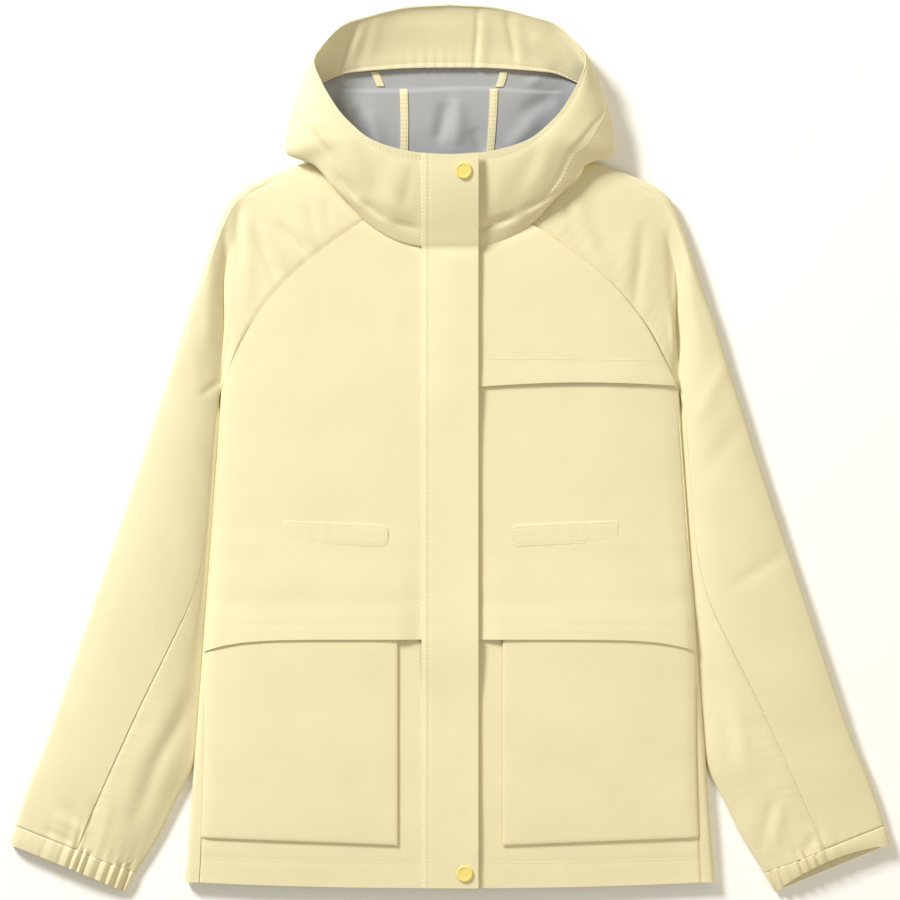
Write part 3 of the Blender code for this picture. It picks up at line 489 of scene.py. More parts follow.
def smooth(lines, stations, wanted):
    """Smooth values between control lines, along the first axis."""
    tangents = np.gradient(lines, stations, axis=0)
    k = np.clip(np.searchsorted(stations, wanted, side="right") - 1, 0, len(stations) - 2)
    shape = (-1,) + (1,) * (lines.ndim - 1)
    step = (stations[k + 1] - stations[k]).reshape(shape)
    t = ((wanted - stations[k]) / (stations[k + 1] - stations[k])).reshape(shape)
    chord = np.linalg.norm(lines[k + 1] - lines[k], axis=-1, keepdims=True) / step
    leave, arrive = shortened(tangents[k], chord), shortened(tangents[k + 1], chord)
    first = (2 * t**3 - 3 * t**2 + 1) * lines[k] + (t**3 - 2 * t**2 + t) * step * leave
    last = (3 * t**2 - 2 * t**3) * lines[k + 1] + (t**3 - t**2) * step * arrive
    return first + last


def unit(vectors):
    return vectors / np.maximum(np.linalg.norm(vectors, axis=-1, keepdims=True), 1e-9)


class FineGrid:
    """Points of a piece on a close grid, with the distances along its rows and columns."""

    def __init__(self, points, down, across, row_marks, column_marks):
        self.points = points
        self.down, self.across = down, across
        self.row_marks, self.column_marks = row_marks, column_marks

    @classmethod
    def through(cls, control, spacing, dense_rows=(), dense_columns=()):
        """Close grid through control points, closer still at the named rows and columns."""
        control = np.asarray(control, float)
        down, across = chord_stations(control, 0), chord_stations(control, 1)
        fine_down, row_marks = fine_stations(down, spacing, [k % len(down) for k in dense_rows])
        dense = [k % len(across) for k in dense_columns]
        fine_across, column_marks = fine_stations(across, spacing, dense)
        lines = smooth(control, down, fine_down)
        points = smooth(lines.swapaxes(0, 1), across, fine_across).swapaxes(0, 1)
        return cls(points, fine_down, fine_across, row_marks, column_marks)

    def block(self, rows, columns):
        """Part between two control rows and two control columns."""
        (r0, r1), (c0, c1) = rows, columns
        i = slice(self.row_marks[r0], self.row_marks[r1] + 1)
        j = slice(self.column_marks[c0], self.column_marks[c1] + 1)
        row_marks = [mark - i.start for mark in self.row_marks[r0:r1 + 1]]
        column_marks = [mark - j.start for mark in self.column_marks[c0:c1 + 1]]
        points = self.points[i, j].copy()
        return FineGrid(points, self.down[i], self.across[j], row_marks, column_marks)

    def field(self, coarse):
        """A coarse table over the control points, eased between them."""
        coarse = np.asarray(coarse, float)
        rows = np.interp(self.down, self.down[self.row_marks], np.arange(len(self.row_marks)))
        columns = np.interp(self.across, self.across[self.column_marks],
                            np.arange(len(self.column_marks)))
        values = coarse
        for places, axis in ((rows, 0), (columns, 1)):
            k = np.minimum(places.astype(int), values.shape[axis] - 2)
            share = eased(places - k)
            shape = (-1, 1) if axis == 0 else (1, -1)
            low, high = np.take(values, k, axis), np.take(values, k + 1, axis)
            values = low + (high - low) * share.reshape(shape)
        return values

    def raise_by(self, heights):
        self.points[:, :, 2] += heights
        return self

    def normals(self):
        """Square to the surface, towards the side that the corner order faces."""
        return unit(np.cross(np.gradient(self.points, axis=0), np.gradient(self.points, axis=1)))

    def edge_distance(self, edge):
        """Distance from one edge of the grid, as a grid."""
        down, across = self.down[:, None], self.across[None, :]
        zero = np.zeros(self.points.shape[:2])
        return {"start": down - self.down[0] + zero, "end": self.down[-1] - down + zero,
                "first": across - self.across[0] + zero, "last": self.across[-1] - across + zero}[edge]

    def sewn(self, edges, facing=None, weights=None):
        """Sinks the cloth into its seams, with small puckers along them."""
        weights = 1.0 if weights is None else weights[:, None, None]
        facing = np.array((0.0, 0.0, 1.0)) if facing is None else facing
        for edge in edges:
            distance = self.edge_distance(edge)
            run = self.across[None, :] if edge in ("start", "end") else self.down[:, None]
            wave = np.sin(run / 2.3 + 1.7 * np.sin(run / 9.1)) + 0.6 * np.sin(run / 4.7 + 0.8)
            fall = -SEAM_DIP * np.exp(-((distance / SEAM_DIP_WIDTH) ** 2))
            pucker = PUCKER * wave * np.exp(-distance / PUCKER_REACH)
            pucker = pucker * np.exp(-1 / (distance + 0.3))
            self.points += facing * weights * (fall + pucker)[:, :, None]
        return self

    def stitched(self, edge, inset, depth):
        """Presses a stitch line into the cloth and gives the line's points and normals."""
        distance = self.edge_distance(edge)
        self.raise_by(-depth * np.exp(-(((distance - inset) / 1.3) ** 2)))
        line = distance[:, 0] if edge in ("start", "end") else distance[0]
        k = int(np.argmin(abs(line - inset)))
        normals = self.normals()
        if edge in ("start", "end"):
            return self.points[k], normals[k]
        return self.points[:, k], normals[:, k]

    def below(self, wall=WALL):
        """Matching points straight below, for a nearly level wall."""
        return self.points - (0.0, 0.0, wall)


# Meshes


def cloth_mesh(name, outer, inner, materials, used, gap):
    """Closed wall of cloth between two matching grids, over the used cells.

    The first material faces out and the second one lines it. Borders are drawn back from the
    seams, so that neighbours stay clear of each other.
    """
    rows, columns = outer.shape[:2]
    index = np.arange(rows * columns).reshape(rows, columns)
    corners = [index[:-1, :-1], index[1:, :-1], index[1:, 1:], index[:-1, 1:]]
    quads = np.stack(corners, axis=-1)[used]
    outer, inner = outer.reshape(-1, 3).copy(), inner.reshape(-1, 3).copy()
    middles = outer[quads].mean(axis=1)
    towards, count = np.zeros_like(outer), np.zeros(len(outer))
    for corner in range(4):
        np.add.at(towards, quads[:, corner], middles)
        np.add.at(count, quads[:, corner], 1)
    edges = np.concatenate([quads[:, [k, (k + 1) % 4]] for k in range(4)])
    keys = np.sort(edges, axis=1)
    _, place, times = np.unique(keys, axis=0, return_inverse=True, return_counts=True)
    border = edges[times[place.ravel()] == 1]
    loose = np.unique(border)
    pull = unit(towards[loose] / count[loose, None] - outer[loose]) * gap
    outer[loose] += pull
    inner[loose] += pull
    kept = np.unique(quads)
    renumbered = np.zeros(len(outer), int)
    renumbered[kept] = np.arange(len(kept))
    top, rim = renumbered[quads], renumbered[border]
    bottom = top[:, ::-1] + len(kept)
    walls = np.stack([rim[:, 1], rim[:, 0], rim[:, 0] + len(kept), rim[:, 1] + len(kept)], axis=-1)
    points = np.concatenate([outer[kept], inner[kept]]) * MM
    faces = np.concatenate([top, bottom, walls])
    mesh = bpy.data.meshes.new(name)
    mesh.from_pydata(points.tolist(), [], faces.tolist())
    for material in materials:
        mesh.materials.append(material)
    if len(materials) > 1:
        slots = np.zeros(len(faces), np.int32)
        slots[len(top):len(top) + len(bottom)] = 1
        mesh.polygons.foreach_set("material_index", slots)
    shape = bmesh.new()
    shape.from_mesh(mesh)
    bmesh.ops.recalc_face_normals(shape, faces=shape.faces)
    shape.to_mesh(mesh)
    shape.free()
    mesh.shade_smooth()
    mesh.set_sharp_from_angle(angle=math.radians(55))
    return mesh


def add_piece(name, mesh, slot, *nodes):
    """Object that stands for some nodes of the frame and moves with its one body."""
    piece = bpy.data.objects.new(name, mesh)
    bpy.context.scene.collection.objects.link(piece)
    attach(piece, "root")
    if nodes:
        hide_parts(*nodes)
    return piece


def add_cloth(node, points, inner, materials, slot="softshell", used=None, gap=SEAM_GAP, **cut):
    """Piece of cloth that stands for one node."""
    if used is None:
        used = np.ones((points.shape[0] - 1, points.shape[1] - 1), bool)
    mesh = cloth_mesh("cloth_" + node, points, inner, materials, used, gap)
    piece = add_piece("cloth_" + node, mesh, slot, node)


def sew(name, lines, slot="softshell"):
    """Rows of stitches along lines of points with normals, as one mesh of short threads."""
    cloth = bpy.context.scene.jacket_cloth
    length, gap = cloth.stitch_length / MM, cloth.stitch_gap / MM
    radius = cloth.thread_width / MM / 2
    points, faces = [], []
    sides = 5
    ring = [(math.cos(2 * math.pi * k / sides), math.sin(2 * math.pi * k / sides))
            for k in range(sides)]
    for line, normals in lines:
        steps = np.concatenate([[0.0], np.cumsum(np.linalg.norm(np.diff(line, axis=0), axis=1))])
        starts = np.arange(gap, steps[-1] - length, length + gap)
        for start in starts:
            places = [start, start + length / 2, start + length]
            middle = [np.array([np.interp(p, steps, line[:, k]) for k in range(3)]) for p in places]
            up = unit(np.array([np.interp(places[1], steps, normals[:, k]) for k in range(3)]))
            run = unit(middle[2] - middle[0])
            beside = np.cross(run, up)
            base = len(points)
            for centre, swell, lift in zip(middle, (0.45, 1.0, 0.45), (-0.1, 0.18, -0.1)):
                for out, rise in ring:
                    points.append(centre + radius * swell * (out * beside + rise * up) + lift * up)
            for k in range(2):
                for j in range(sides):
                    a, b = base + k * sides + j, base + k * sides + (j + 1) % sides
                    faces.append((a, b, b + sides, a + sides))
            faces.append(tuple(base + j for j in reversed(range(sides))))
            faces.append(tuple(base + 2 * sides + j for j in range(sides)))
    mesh = bpy.data.meshes.new(name)
    mesh.from_pydata((np.array(points) * MM).tolist(), [], faces)
    mesh.materials.append(thread_material())
    mesh.shade_smooth()
    return add_piece(name, mesh, slot)


# Materials


def new_material(name, colour, roughness):
    """Principled material with its base set, and its nodes, links and shader."""
    material = bpy.data.materials.get(name)
    if material:
        return material, None, None, None
    material = bpy.data.materials.new(name)
    material.use_nodes = True
    nodes, links = material.node_tree.nodes, material.node_tree.links
    shader = nodes["Principled BSDF"]
    shader.inputs["Base Color"].default_value = (*colour[:3], 1.0)
    shader.inputs["Roughness"].default_value = roughness
    return material, nodes, links, shader


def mottled(nodes, links, shader, colour, scale, amount):
    """Slight unevenness of the dye over the cloth."""
    place = nodes.new("ShaderNodeTexCoord")
    noise = nodes.new("ShaderNodeTexNoise")
    noise.inputs["Scale"].default_value = scale
    noise.inputs["Detail"].default_value = 5.0
    ramp = nodes.new("ShaderNodeValToRGB")
    ramp.color_ramp.elements[0].position = 0.30
    ramp.color_ramp.elements[1].position = 0.72
    ramp.color_ramp.elements[0].color = (*[c * (1 - amount) for c in colour[:3]], 1.0)
    ramp.color_ramp.elements[1].color = (*[min(c * (1 + amount), 1.0) for c in colour[:3]], 1.0)
    links.new(place.outputs["Object"], noise.inputs["Vector"])
    links.new(noise.outputs["Fac"], ramp.inputs["Fac"])
    links.new(ramp.outputs["Color"], shader.inputs["Base Color"])
    return place


def woven(nodes, links, shader, place, period, depth):
    """Fine crossed threads, as bump."""
    waves = []
    for direction in ("X", "Y"):
        wave = nodes.new("ShaderNodeTexWave")
        wave.bands_direction = direction
        wave.inputs["Scale"].default_value = 0.314 / period
        wave.inputs["Distortion"].default_value = 1.2
        wave.inputs["Detail"].default_value = 2.0
        wave.inputs["Detail Scale"].default_value = 1.5
        links.new(place.outputs["Object"], wave.inputs["Vector"])
        waves.append(wave)
    crossed = nodes.new("ShaderNodeMath")
    crossed.operation = "MULTIPLY"
    links.new(waves[0].outputs["Fac"], crossed.inputs[0])
    links.new(waves[1].outputs["Fac"], crossed.inputs[1])
    grain = nodes.new("ShaderNodeTexNoise")
    grain.inputs["Scale"].default_value = 900.0
    grain.inputs["Detail"].default_value = 3.0
    links.new(place.outputs["Object"], grain.inputs["Vector"])
    added = nodes.new("ShaderNodeMath")
    added.operation = "ADD"
    links.new(crossed.outputs["Value"], added.inputs[0])
    links.new(grain.outputs["Fac"], added.inputs[1])
    bump = nodes.new("ShaderNodeBump")
    bump.inputs["Strength"].default_value = 0.35
    bump.inputs["Distance"].default_value = depth
    links.new(added.outputs["Value"], bump.inputs["Height"])
    links.new(bump.outputs["Normal"], shader.inputs["Normal"])


def cloth_material(name, colour, roughness, sheen, dye, weave):
    """Matte cloth with a weave.

    sheen is its weight, roughness and tint, dye the scale and amount of its unevenness, and
    weave the period and depth of the threads.
    """
    material, nodes, links, shader = new_material(name, colour, roughness)
    if nodes:
        for socket, value in zip(("Sheen Weight", "Sheen Roughness", "Sheen Tint"), sheen):
            shader.inputs[socket].default_value = value
        place = mottled(nodes, links, shader, colour, *dye)
        woven(nodes, links, shader, place, *weave)
    return material


def softshell_material():
    """Bonded polyester softshell with a very fine weave."""
    colour = bpy.context.scene.jacket_cloth.cloth_colour
    return cloth_material("softshell_cloth", colour, 0.74, (0.18, 0.5, (1.0, 0.96, 0.80, 1.0)),
                          (22.0, 0.022), (0.0006, 0.00012))


def painted_shade_material():
    """The same cloth a little darker: painted shade for the sleeves, cuffs and hood facing."""
    # painted shade: the cloth's colour darkened by 3.5 percent
    colour = [c * 0.965 for c in bpy.context.scene.jacket_cloth.cloth_colour[:3]]
    return cloth_material("softshell_cloth_painted_shade", colour, 0.72, (0.18, 0.5), (22.0, 0.022),
                          (0.0006, 0.00012))


def lining_material():
    """Smooth grey backing of the bonded cloth."""
    colour = bpy.context.scene.jacket_cloth.lining_colour
    return cloth_material("grey_lining", colour, 0.62, (0.25, 0.4), (30.0, 0.03), (0.0008, 0.0001))


def thread_material():
    colour = [mixed(c, 1.0, 0.35) for c in bpy.context.scene.jacket_cloth.cloth_colour[:3]]
    material, nodes, links, shader = new_material("sewing_thread", colour, 0.5)
    if nodes:
        shader.inputs["Sheen Weight"].default_value = 0.3
        mottled(nodes, links, shader, colour, 300.0, 0.04)
    return material


def snap_material():
    """Yellow lacquered metal cap with a soft gloss."""
    colour = bpy.context.scene.jacket_cloth.snap_colour
    material, nodes, links, shader = new_material("snap_lacquer", colour, 0.34)
    if nodes:
        shader.inputs["Coat Weight"].default_value = 0.3
        shader.inputs["Coat Roughness"].default_value = 0.2
        mottled(nodes, links, shader, colour, 400.0, 0.02)
    return material


# Control points of the front


FRONT_NAMES = [row[0] for row in FRONT_ROWS] + [row[0] for row in RAGLAN_ROWS]
SIDE_SHARES = (0.0, 0.05, 0.16, 0.30, 0.46, 0.63, 0.82, 1.0)
POCKET_COLUMN = len(SIDE_SHARES) - 1
FLAP_COLUMN = POCKET_COLUMN + 1
CENTRE_COLUMN = POCKET_COLUMN + 2


def front_row(name):
    return FRONT_NAMES.index(name)


def seam_point(side, row):
    """Out and y of the front raglan seam at a raglan row."""
    return row[1], row[2] - (LEFT_SEAM_DROP if side == LEFT and row[0] != "underarm" else 0.0)


def front_sections(side):
    """For each section of the front: name, side seam out and y, centre y and bend."""
    sections = []
    for name, side_y, centre_y, bend, strip in FRONT_ROWS:
        sections.append((name, body_half_width(side_y) - strip, side_y, centre_y, bend))
    for row in RAGLAN_ROWS:
        out, y = seam_point(side, row)
        sections.append((row[0], out, y, row[7], NECK_BEND if row[0] == "neck" else 1.0))
    return sections


def front_control(side):
    """Control points of one half of the front's top cloth, from side to centre."""
    control = []
    for name, seam_out, seam_y, centre_y, bend in front_sections(side):
        outs = [mixed(seam_out, POCKET_INNER, share) for share in SIDE_SHARES]
        line = []
        for out in outs + [STORM_FLAP_HALF, 0.0]:
            share = max(out - STORM_FLAP_HALF, 0.0) / (seam_out - STORM_FLAP_HALF)
            arch = CHEST_FLAP_ARCH * math.sin(math.pi * share) if name == "underarm" else 0.0
            x, y = side * out, centre_y + (seam_y - centre_y) * share**bend + arch
            line.append((x, y, body_height(x, y)))
        control.append(line)
    return control


def front_fine(side):
    """Close grid of one half of the front, with its folds."""
    edges = [front_row(name) for name in ("hem", "pocket_foot", "overlay_edge", "underarm", "neck")]
    columns = (0, POCKET_COLUMN, FLAP_COLUMN, CENTRE_COLUMN)
    grid = FineGrid.through(front_control(side), CLOTH_STEP, edges, columns)
    return grid.raise_by(relief(grid.points[:, :, 0], grid.points[:, :, 1]) + neck_drop(grid, "end"))


def neck_drop(grid, edge):
    """Lowers the cloth that runs in under the foot of the hood."""
    return -1.9 * np.exp(-((grid.edge_distance(edge) / 9.0) ** 2))


def lifts_of(value=0.0):
    return np.full((len(FRONT_NAMES), CENTRE_COLUMN + 1), value)


def pocket_lifts():
    """The pocket's face stands off the front, on the bellows at its inner edge and foot."""
    lifts = lifts_of(LAYER + 1.5)
    lifts[:, 0] = LAYER + 0.3
    lifts[:, POCKET_COLUMN] = LAYER + 1.2
    lifts[front_row("pocket_foot")] = LAYER + 1.0
    lifts[front_row("pocket_foot"), 0] = LAYER
    lifts[front_row("pocket_top")] = LAYER + 0.2
    return lifts


def upper_lifts():
    """The upper front lies on the lower front, and runs out over the pocket's top."""
    lifts = lifts_of()
    edge = front_row("overlay_edge")
    for row, lift in enumerate((2 * LAYER + 1.5, 2 * LAYER + 1.1, 2 * LAYER + 0.4, LAYER + 0.6, 0.9)):
        lifts[edge + row] = lift
        lifts[edge + row, FLAP_COLUMN:] = lift * 0.5
        lifts[edge + row, 0] = lift * 0.66
    return lifts


def make_front_pieces():
    """Both layers of each front half, and their stitching."""
    lines = []
    cloth, lining = softshell_material(), lining_material()
    last = CENTRE_COLUMN
    for side, name in SIDE_NAMES.items():
        whole = front_fine(side)
        lower = whole.block((front_row("hem"), front_row("tuck")), (0, last))
        lower.sewn(["first"])
        lines.append(lower.stitched("start", HEM_STITCH, depth=0.5))
        add_cloth(f"front_lower_{name}", lower.points, lower.below(), [cloth, lining],
                  rests_on=["back_panel"])
        upper = whole.block((front_row("overlay_edge"), front_row("neck")), (0, last))
        upper.raise_by(whole_block(whole, upper_lifts(), "overlay_edge", "neck"))
        if side == LEFT:
            upper.sewn(["first"])
        add_cloth(f"front_upper_{name}", upper.points, upper.below(), [cloth, lining],
                  rests_on=["back_panel"])
    sew("stitching_hem", lines)


def whole_block(whole, lifts, first, last, columns=(0, CENTRE_COLUMN)):
    """Lifts of one layer over a block of the front's close grid."""
    field = whole.field(lifts)
    rows = slice(whole.row_marks[front_row(first)], whole.row_marks[front_row(last)] + 1)
    across = slice(whole.column_marks[columns[0]], whole.column_marks[columns[1]] + 1)
    return field[rows, across]


def make_pockets():
    """Patch pockets whose inner edge and foot turn down to the front as a bellows."""
    for side, name in SIDE_NAMES.items():
        whole = front_fine(side)
        pocket = whole.block((front_row("pocket_foot"), front_row("pocket_top")), (0, POCKET_COLUMN))
        ground = pocket.points.copy()
        pocket.raise_by(whole_block(whole, pocket_lifts(), "pocket_foot", "pocket_top",
                                    (0, POCKET_COLUMN)))
        inner_edge, foot = pocket.edge_distance("last"), pocket.edge_distance("start")
        roll = np.exp(-inner_edge / 1.6) + np.exp(-foot / 1.6)
        pocket.raise_by(-0.7 * np.minimum(roll, 1.0))
        pocket.sewn(["first"])
        inner = pocket.below()
        turned = (inner_edge < 0.5) | (foot < 0.5)
        inner[turned, 2] = ground[turned, 2] + 0.4
        add_cloth(f"pocket_{name}", pocket.points, inner, [softshell_material()],
                  rests_on=[f"front_lower_{name}"])


def make_chest_flap():
    """Flap over the wearer's left chest, sewn at the raglan seam, the neck and the zip."""
    whole = front_fine(LEFT)
    flap = whole.block((front_row("underarm"), front_row("neck")), (0, CENTRE_COLUMN))
    lifts = lifts_of(LAYER + 0.2)
    lifts[front_row("underarm")] = LAYER + 1.0
    lifts[front_row("underarm"), 3:7] = LAYER + 1.4
    flap.raise_by(whole_block(whole, lifts, "underarm", "neck"))
    flap.sewn(["first"])
    line = flap.stitched("start", CHEST_FLAP_STITCH, depth=0.3)
    add_cloth("chest_flap", flap.points, flap.below(), [softshell_material(), lining_material()],
              rests_on=["front_upper_left"])
    sew("stitching_chest_flap", [line])


def hood_control(side):
    return np.array([hood_line(row) for row in HOOD_ROWS]) * (side, 1, 1)


def storm_flap_grid():
    """The flap runs from the hem over the zip and up the chin, fixed on its right side."""
    right, left = np.array(front_control(RIGHT)), np.array(front_control(LEFT))
    ground = upper_lifts()
    lines = []
    for i in range(len(FRONT_NAMES) - 1):
        over_chest_flap = LAYER if i >= front_row("underarm") else 0.0
        points = (right[i, FLAP_COLUMN] + (0, 0, ground[i, FLAP_COLUMN]),
                  left[i, CENTRE_COLUMN] + (0, 0, ground[i, CENTRE_COLUMN]),
                  left[i, FLAP_COLUMN] + (0, 0, ground[i, FLAP_COLUMN]))
        rise = 1.4 * (i / len(FRONT_NAMES)) ** 3
        lifts = (LAYER + 0.1, LAYER + over_chest_flap + 0.7 + rise / 2,
                 LAYER + over_chest_flap + 1.7 + rise)
        lines.append([point + (0, 0, lift) for point, lift in zip(points, lifts)])
    shell = hood_control(RIGHT)[-2:, ::-1]
    other = hood_control(LEFT)[-2, ::-1]
    for j in range(shell.shape[1]):
        points = (shell[0, j], shell[1, j], other[j])
        lifts = (LAYER + 0.1, LAYER + 2.4, LAYER + 4.6)
        lines.append([point + (0, 0, lift) for point, lift in zip(points, lifts)])
    grid = FineGrid.through(lines, FLAP_STEP, (0, -1), (0, -1))
    return grid.raise_by(relief(grid.points[:, :, 0], grid.points[:, :, 1]))


def make_storm_flap():
    """Storm flap with the twin stitching of its fixed edge and the seam beside it."""
    grid = storm_flap_grid()
    fixed = grid.edge_distance("first")
    dip, ridge = np.exp(-((fixed / 1.3) ** 2)), np.exp(-(((fixed - 5.0) / 1.6) ** 2))
    grid.raise_by(-1.0 * dip + 0.25 * ridge)
    free, run = grid.edge_distance("last"), grid.points[:, :, 1]
    sway = 0.5 * np.sin(run / 37 + 0.8 * np.sin(run / 61)) + 0.25 * np.sin(run / 13.7)
    grid.raise_by((0.3 + sway * 0.5) * np.exp(-((free / 9.0) ** 2)))
    lines = [grid.stitched("first", inset, depth=0.5) for inset in STORM_FLAP_STITCHES]
    cloth = softshell_material()
    add_cloth("storm_flap", grid.points, grid.below(FLAP_WALL), [cloth],
              rests_on=["front_upper_right", "front_upper_left"])
    sew("stitching_storm_flap", lines)


def make_snaps():
    """Press stud caps: a rolled rim round a shallow dish, plain in the middle."""
    profile = ((0.0, 0.0), (0.94, 0.0), (1.0, 0.35), (1.0, 1.1), (0.97, 1.7), (0.90, 2.15),
               (0.82, 2.35), (0.75, 2.3), (0.69, 2.0), (0.60, 1.85), (0.30, 1.95), (0.0, 2.0))
    for name, (x, y) in SNAPS.items():
        low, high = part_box(name)
        grid = storm_flap_grid()
        distance = np.hypot(grid.points[:, :, 0] - x, grid.points[:, :, 1] - y)
        i, j = np.unravel_index(np.argmin(distance), distance.shape)
        normal = grid.normals()[i, j]
        normal = normal * np.sign(normal[2])
        centre = (low + high) / 2
        centre.z = grid.points[i, j, 2] * MM + 0.0002
        shape = bmesh.new()
        ring = [shape.verts.new((out * SNAP_WIDTH / 2 * MM, 0.0, up * MM)) for out, up in profile]
        edges = [shape.edges.new(pair) for pair in zip(ring, ring[1:])]
        bmesh.ops.spin(shape, geom=ring + edges, cent=(0, 0, 0), axis=(0, 0, 1),
                       angle=2 * math.pi, steps=64)
        bmesh.ops.remove_doubles(shape, verts=shape.verts, dist=0.01 * MM)
        bmesh.ops.recalc_face_normals(shape, faces=shape.faces)
        turn = Vector((0, 0, 1)).rotation_difference(Vector(normal)).to_matrix()
        bmesh.ops.rotate(shape, verts=shape.verts, cent=(0, 0, 0), matrix=turn)
        bmesh.ops.translate(shape, verts=shape.verts, vec=centre)
        mesh = bpy.data.meshes.new("cap_" + name)
        shape.to_mesh(mesh)
        shape.free()
        mesh.materials.append(snap_material())
        mesh.shade_smooth()
        mesh.set_sharp_from_angle(angle=math.radians(50))
        add_piece("cap_" + name, mesh, "snap", name)


def make_waist_tabs():
    """Stitched ends of the waist channel, low plates with one rounded end."""
    lines = []
    for side, name in SIDE_NAMES.items():
        control = []
        for share in (0.0, 0.015, 0.04, 0.08, 0.14, 0.35, 0.6, 0.8, 1.0):
            out = mixed(TAB_INNER, TAB_OUTER, share)
            from_end = min((out - TAB_INNER + 0.4) / (TAB_HALF_HEIGHT * 0.6), 1.0)
            half = TAB_HALF_HEIGHT * (0.45 + 0.55 * math.sqrt(1 - (1 - from_end) ** 2))
            middle = TAB_MIDDLE_Y + TAB_RISE * share
            fade = 1.2 - 0.9 * share**2
            control.append([(side * out, middle + across * half,
                             body_height(out, middle + across * half) + 0.2 + fade)
                            for across in (-1.0, -0.8, 0.0, 0.8, 1.0)])
        grid = FineGrid.through(control, TAB_STEP, (0, -1), (0, -1))
        grid.raise_by(relief(grid.points[:, :, 0], grid.points[:, :, 1]))
        run = grid.points[:, :, 0]
        channel = 0.09 * np.sin(run / 3.1 + 1.3 * np.sin(run / 11)) * (abs(run) > 84)
        grid.raise_by(channel)
        for edge in ("first", "last"):
            grid.raise_by(-0.6 * np.exp(-((grid.edge_distance(edge) / 1.1) ** 2)))
        lines += [grid.stitched(edge, TAB_STITCH, depth=0.25) for edge in ("first", "last", "start")]
        add_cloth(f"waist_tab_{name}", grid.points, grid.below(TAB_WALL), [softshell_material()],
                  rests_on=[f"front_upper_{name}"])
    sew("stitching_waist_tabs", lines)


# Back


def back_control():
    """Control points of the back from side seam to side seam, outside and inside."""
    shares = (0.25, 0.5, 0.75, 0.97)
    control = []
    first_raglan = len(FRONT_ROWS)
    for i, (_, seam_out, seam_y, _, _) in enumerate(front_sections(RIGHT)):
        if i >= first_raglan:
            row = RAGLAN_ROWS[i - first_raglan]
            y, floor_half = row[6], row[5]
            wrap_y = UNDERARM_Y
            wide = body_half_width(wrap_y)
            seam_out = wide - FRONT_ROWS[-1][4]
        else:
            y = wrap_y = seam_y
            wide = body_half_width(y)
            floor_half = wide - SIDE_FOLD
        past = min(max((seam_out - wide + SIDE_FOLD) / SIDE_FOLD, 0.0), 1.0)
        turn = math.pi - math.asin(past)
        wrap = [(wide - SIDE_FOLD + SIDE_FOLD * math.sin(turn * share),
                 SIDE_FOLD * (1 - math.cos(turn * share))) for share in shares]
        wrap.append((seam_out, body_height(seam_out, wrap_y)))
        left = [(out, wrap_y, z) for out, z in wrap]
        floor = [(share * floor_half, y, 0.0) for share in (-1.0, -0.5, 0.0, 0.5, 1.0)]
        control.append([(-out, at, z) for out, at, z in reversed(left)] + floor + left)
    return control, len(shares) + 1


def top_share(grid):
    """1 where the cloth faces up and 0 where it faces down or lies on the ground."""
    up = grid.normals()[:, :, 2]
    middle = up[np.unravel_index(np.argmax(grid.points[:, :, 2]), up.shape)]
    return eased(up * np.sign(middle) * 1.6)


def with_folds(grid, extra=0.0):
    """Adds the shared folds where the cloth faces up, and keeps the rest on the ground."""
    x, y = grid.points[:, :, 0], grid.points[:, :, 1]
    grid.raise_by((relief(x, y) + extra) * top_share(grid))
    grid.points[:, :, 2] = np.maximum(grid.points[:, :, 2], 0.0)
    return grid


def inner_side(grid, wall=WALL):
    """Matching points a wall's thickness inside a hollow piece."""
    normals = grid.normals()
    top = np.unravel_index(np.argmax(grid.points[:, :, 2]), grid.points.shape[:2])
    inner = grid.points - normals * np.sign(normals[top][2]) * wall
    inner[:, :, 2] = np.maximum(inner[:, :, 2], 0.25)
    return inner


def make_back():
    """Back with its side strips folded over to the side seams."""
    control, wraps = back_control()
    control = np.array(control)
    grid = FineGrid.through(control, BACK_STEP, (0,), (0, wraps, -1 - wraps, -1))
    rows, columns = grid.points.shape[:2]
    on_floor = slice(grid.column_marks[wraps], grid.column_marks[-1 - wraps])
    grid.points[:, on_floor, 2] = 0.0
    grid = with_folds(grid)
    used = np.ones((rows - 1, columns - 1), bool)
    raglan = grid.row_marks[len(FRONT_ROWS)]
    used[raglan:, :on_floor.start] = False
    used[raglan:, on_floor.stop:] = False
    inner = inner_side(grid)
    add_cloth("back_panel", grid.points, inner, [softshell_material(), lining_material()], used=used)


# Sleeves


def cap_height(out, y, crown):
    """Height of the raglan cap and upper sleeve, with the crease beside the body's fold."""
    past = out - body_half_width(y)
    fade = float(eased((CREASE_FADE_Y - y) / CREASE_FADE_LENGTH))
    if past < -SIDE_FOLD:
        return body_height(out, y)
    body = body_height(body_half_width(y) - SIDE_FOLD, y)
    crease = mixed(body + 4.0, CREASE_HEIGHT, fade)
    if past < 0:
        return mixed(crease, body, math.sqrt(1 - (1 + past / SIDE_FOLD) ** 2))
    return crease + (max(crown, crease) - crease) * rising(past, SLEEVE_RISE_IN)


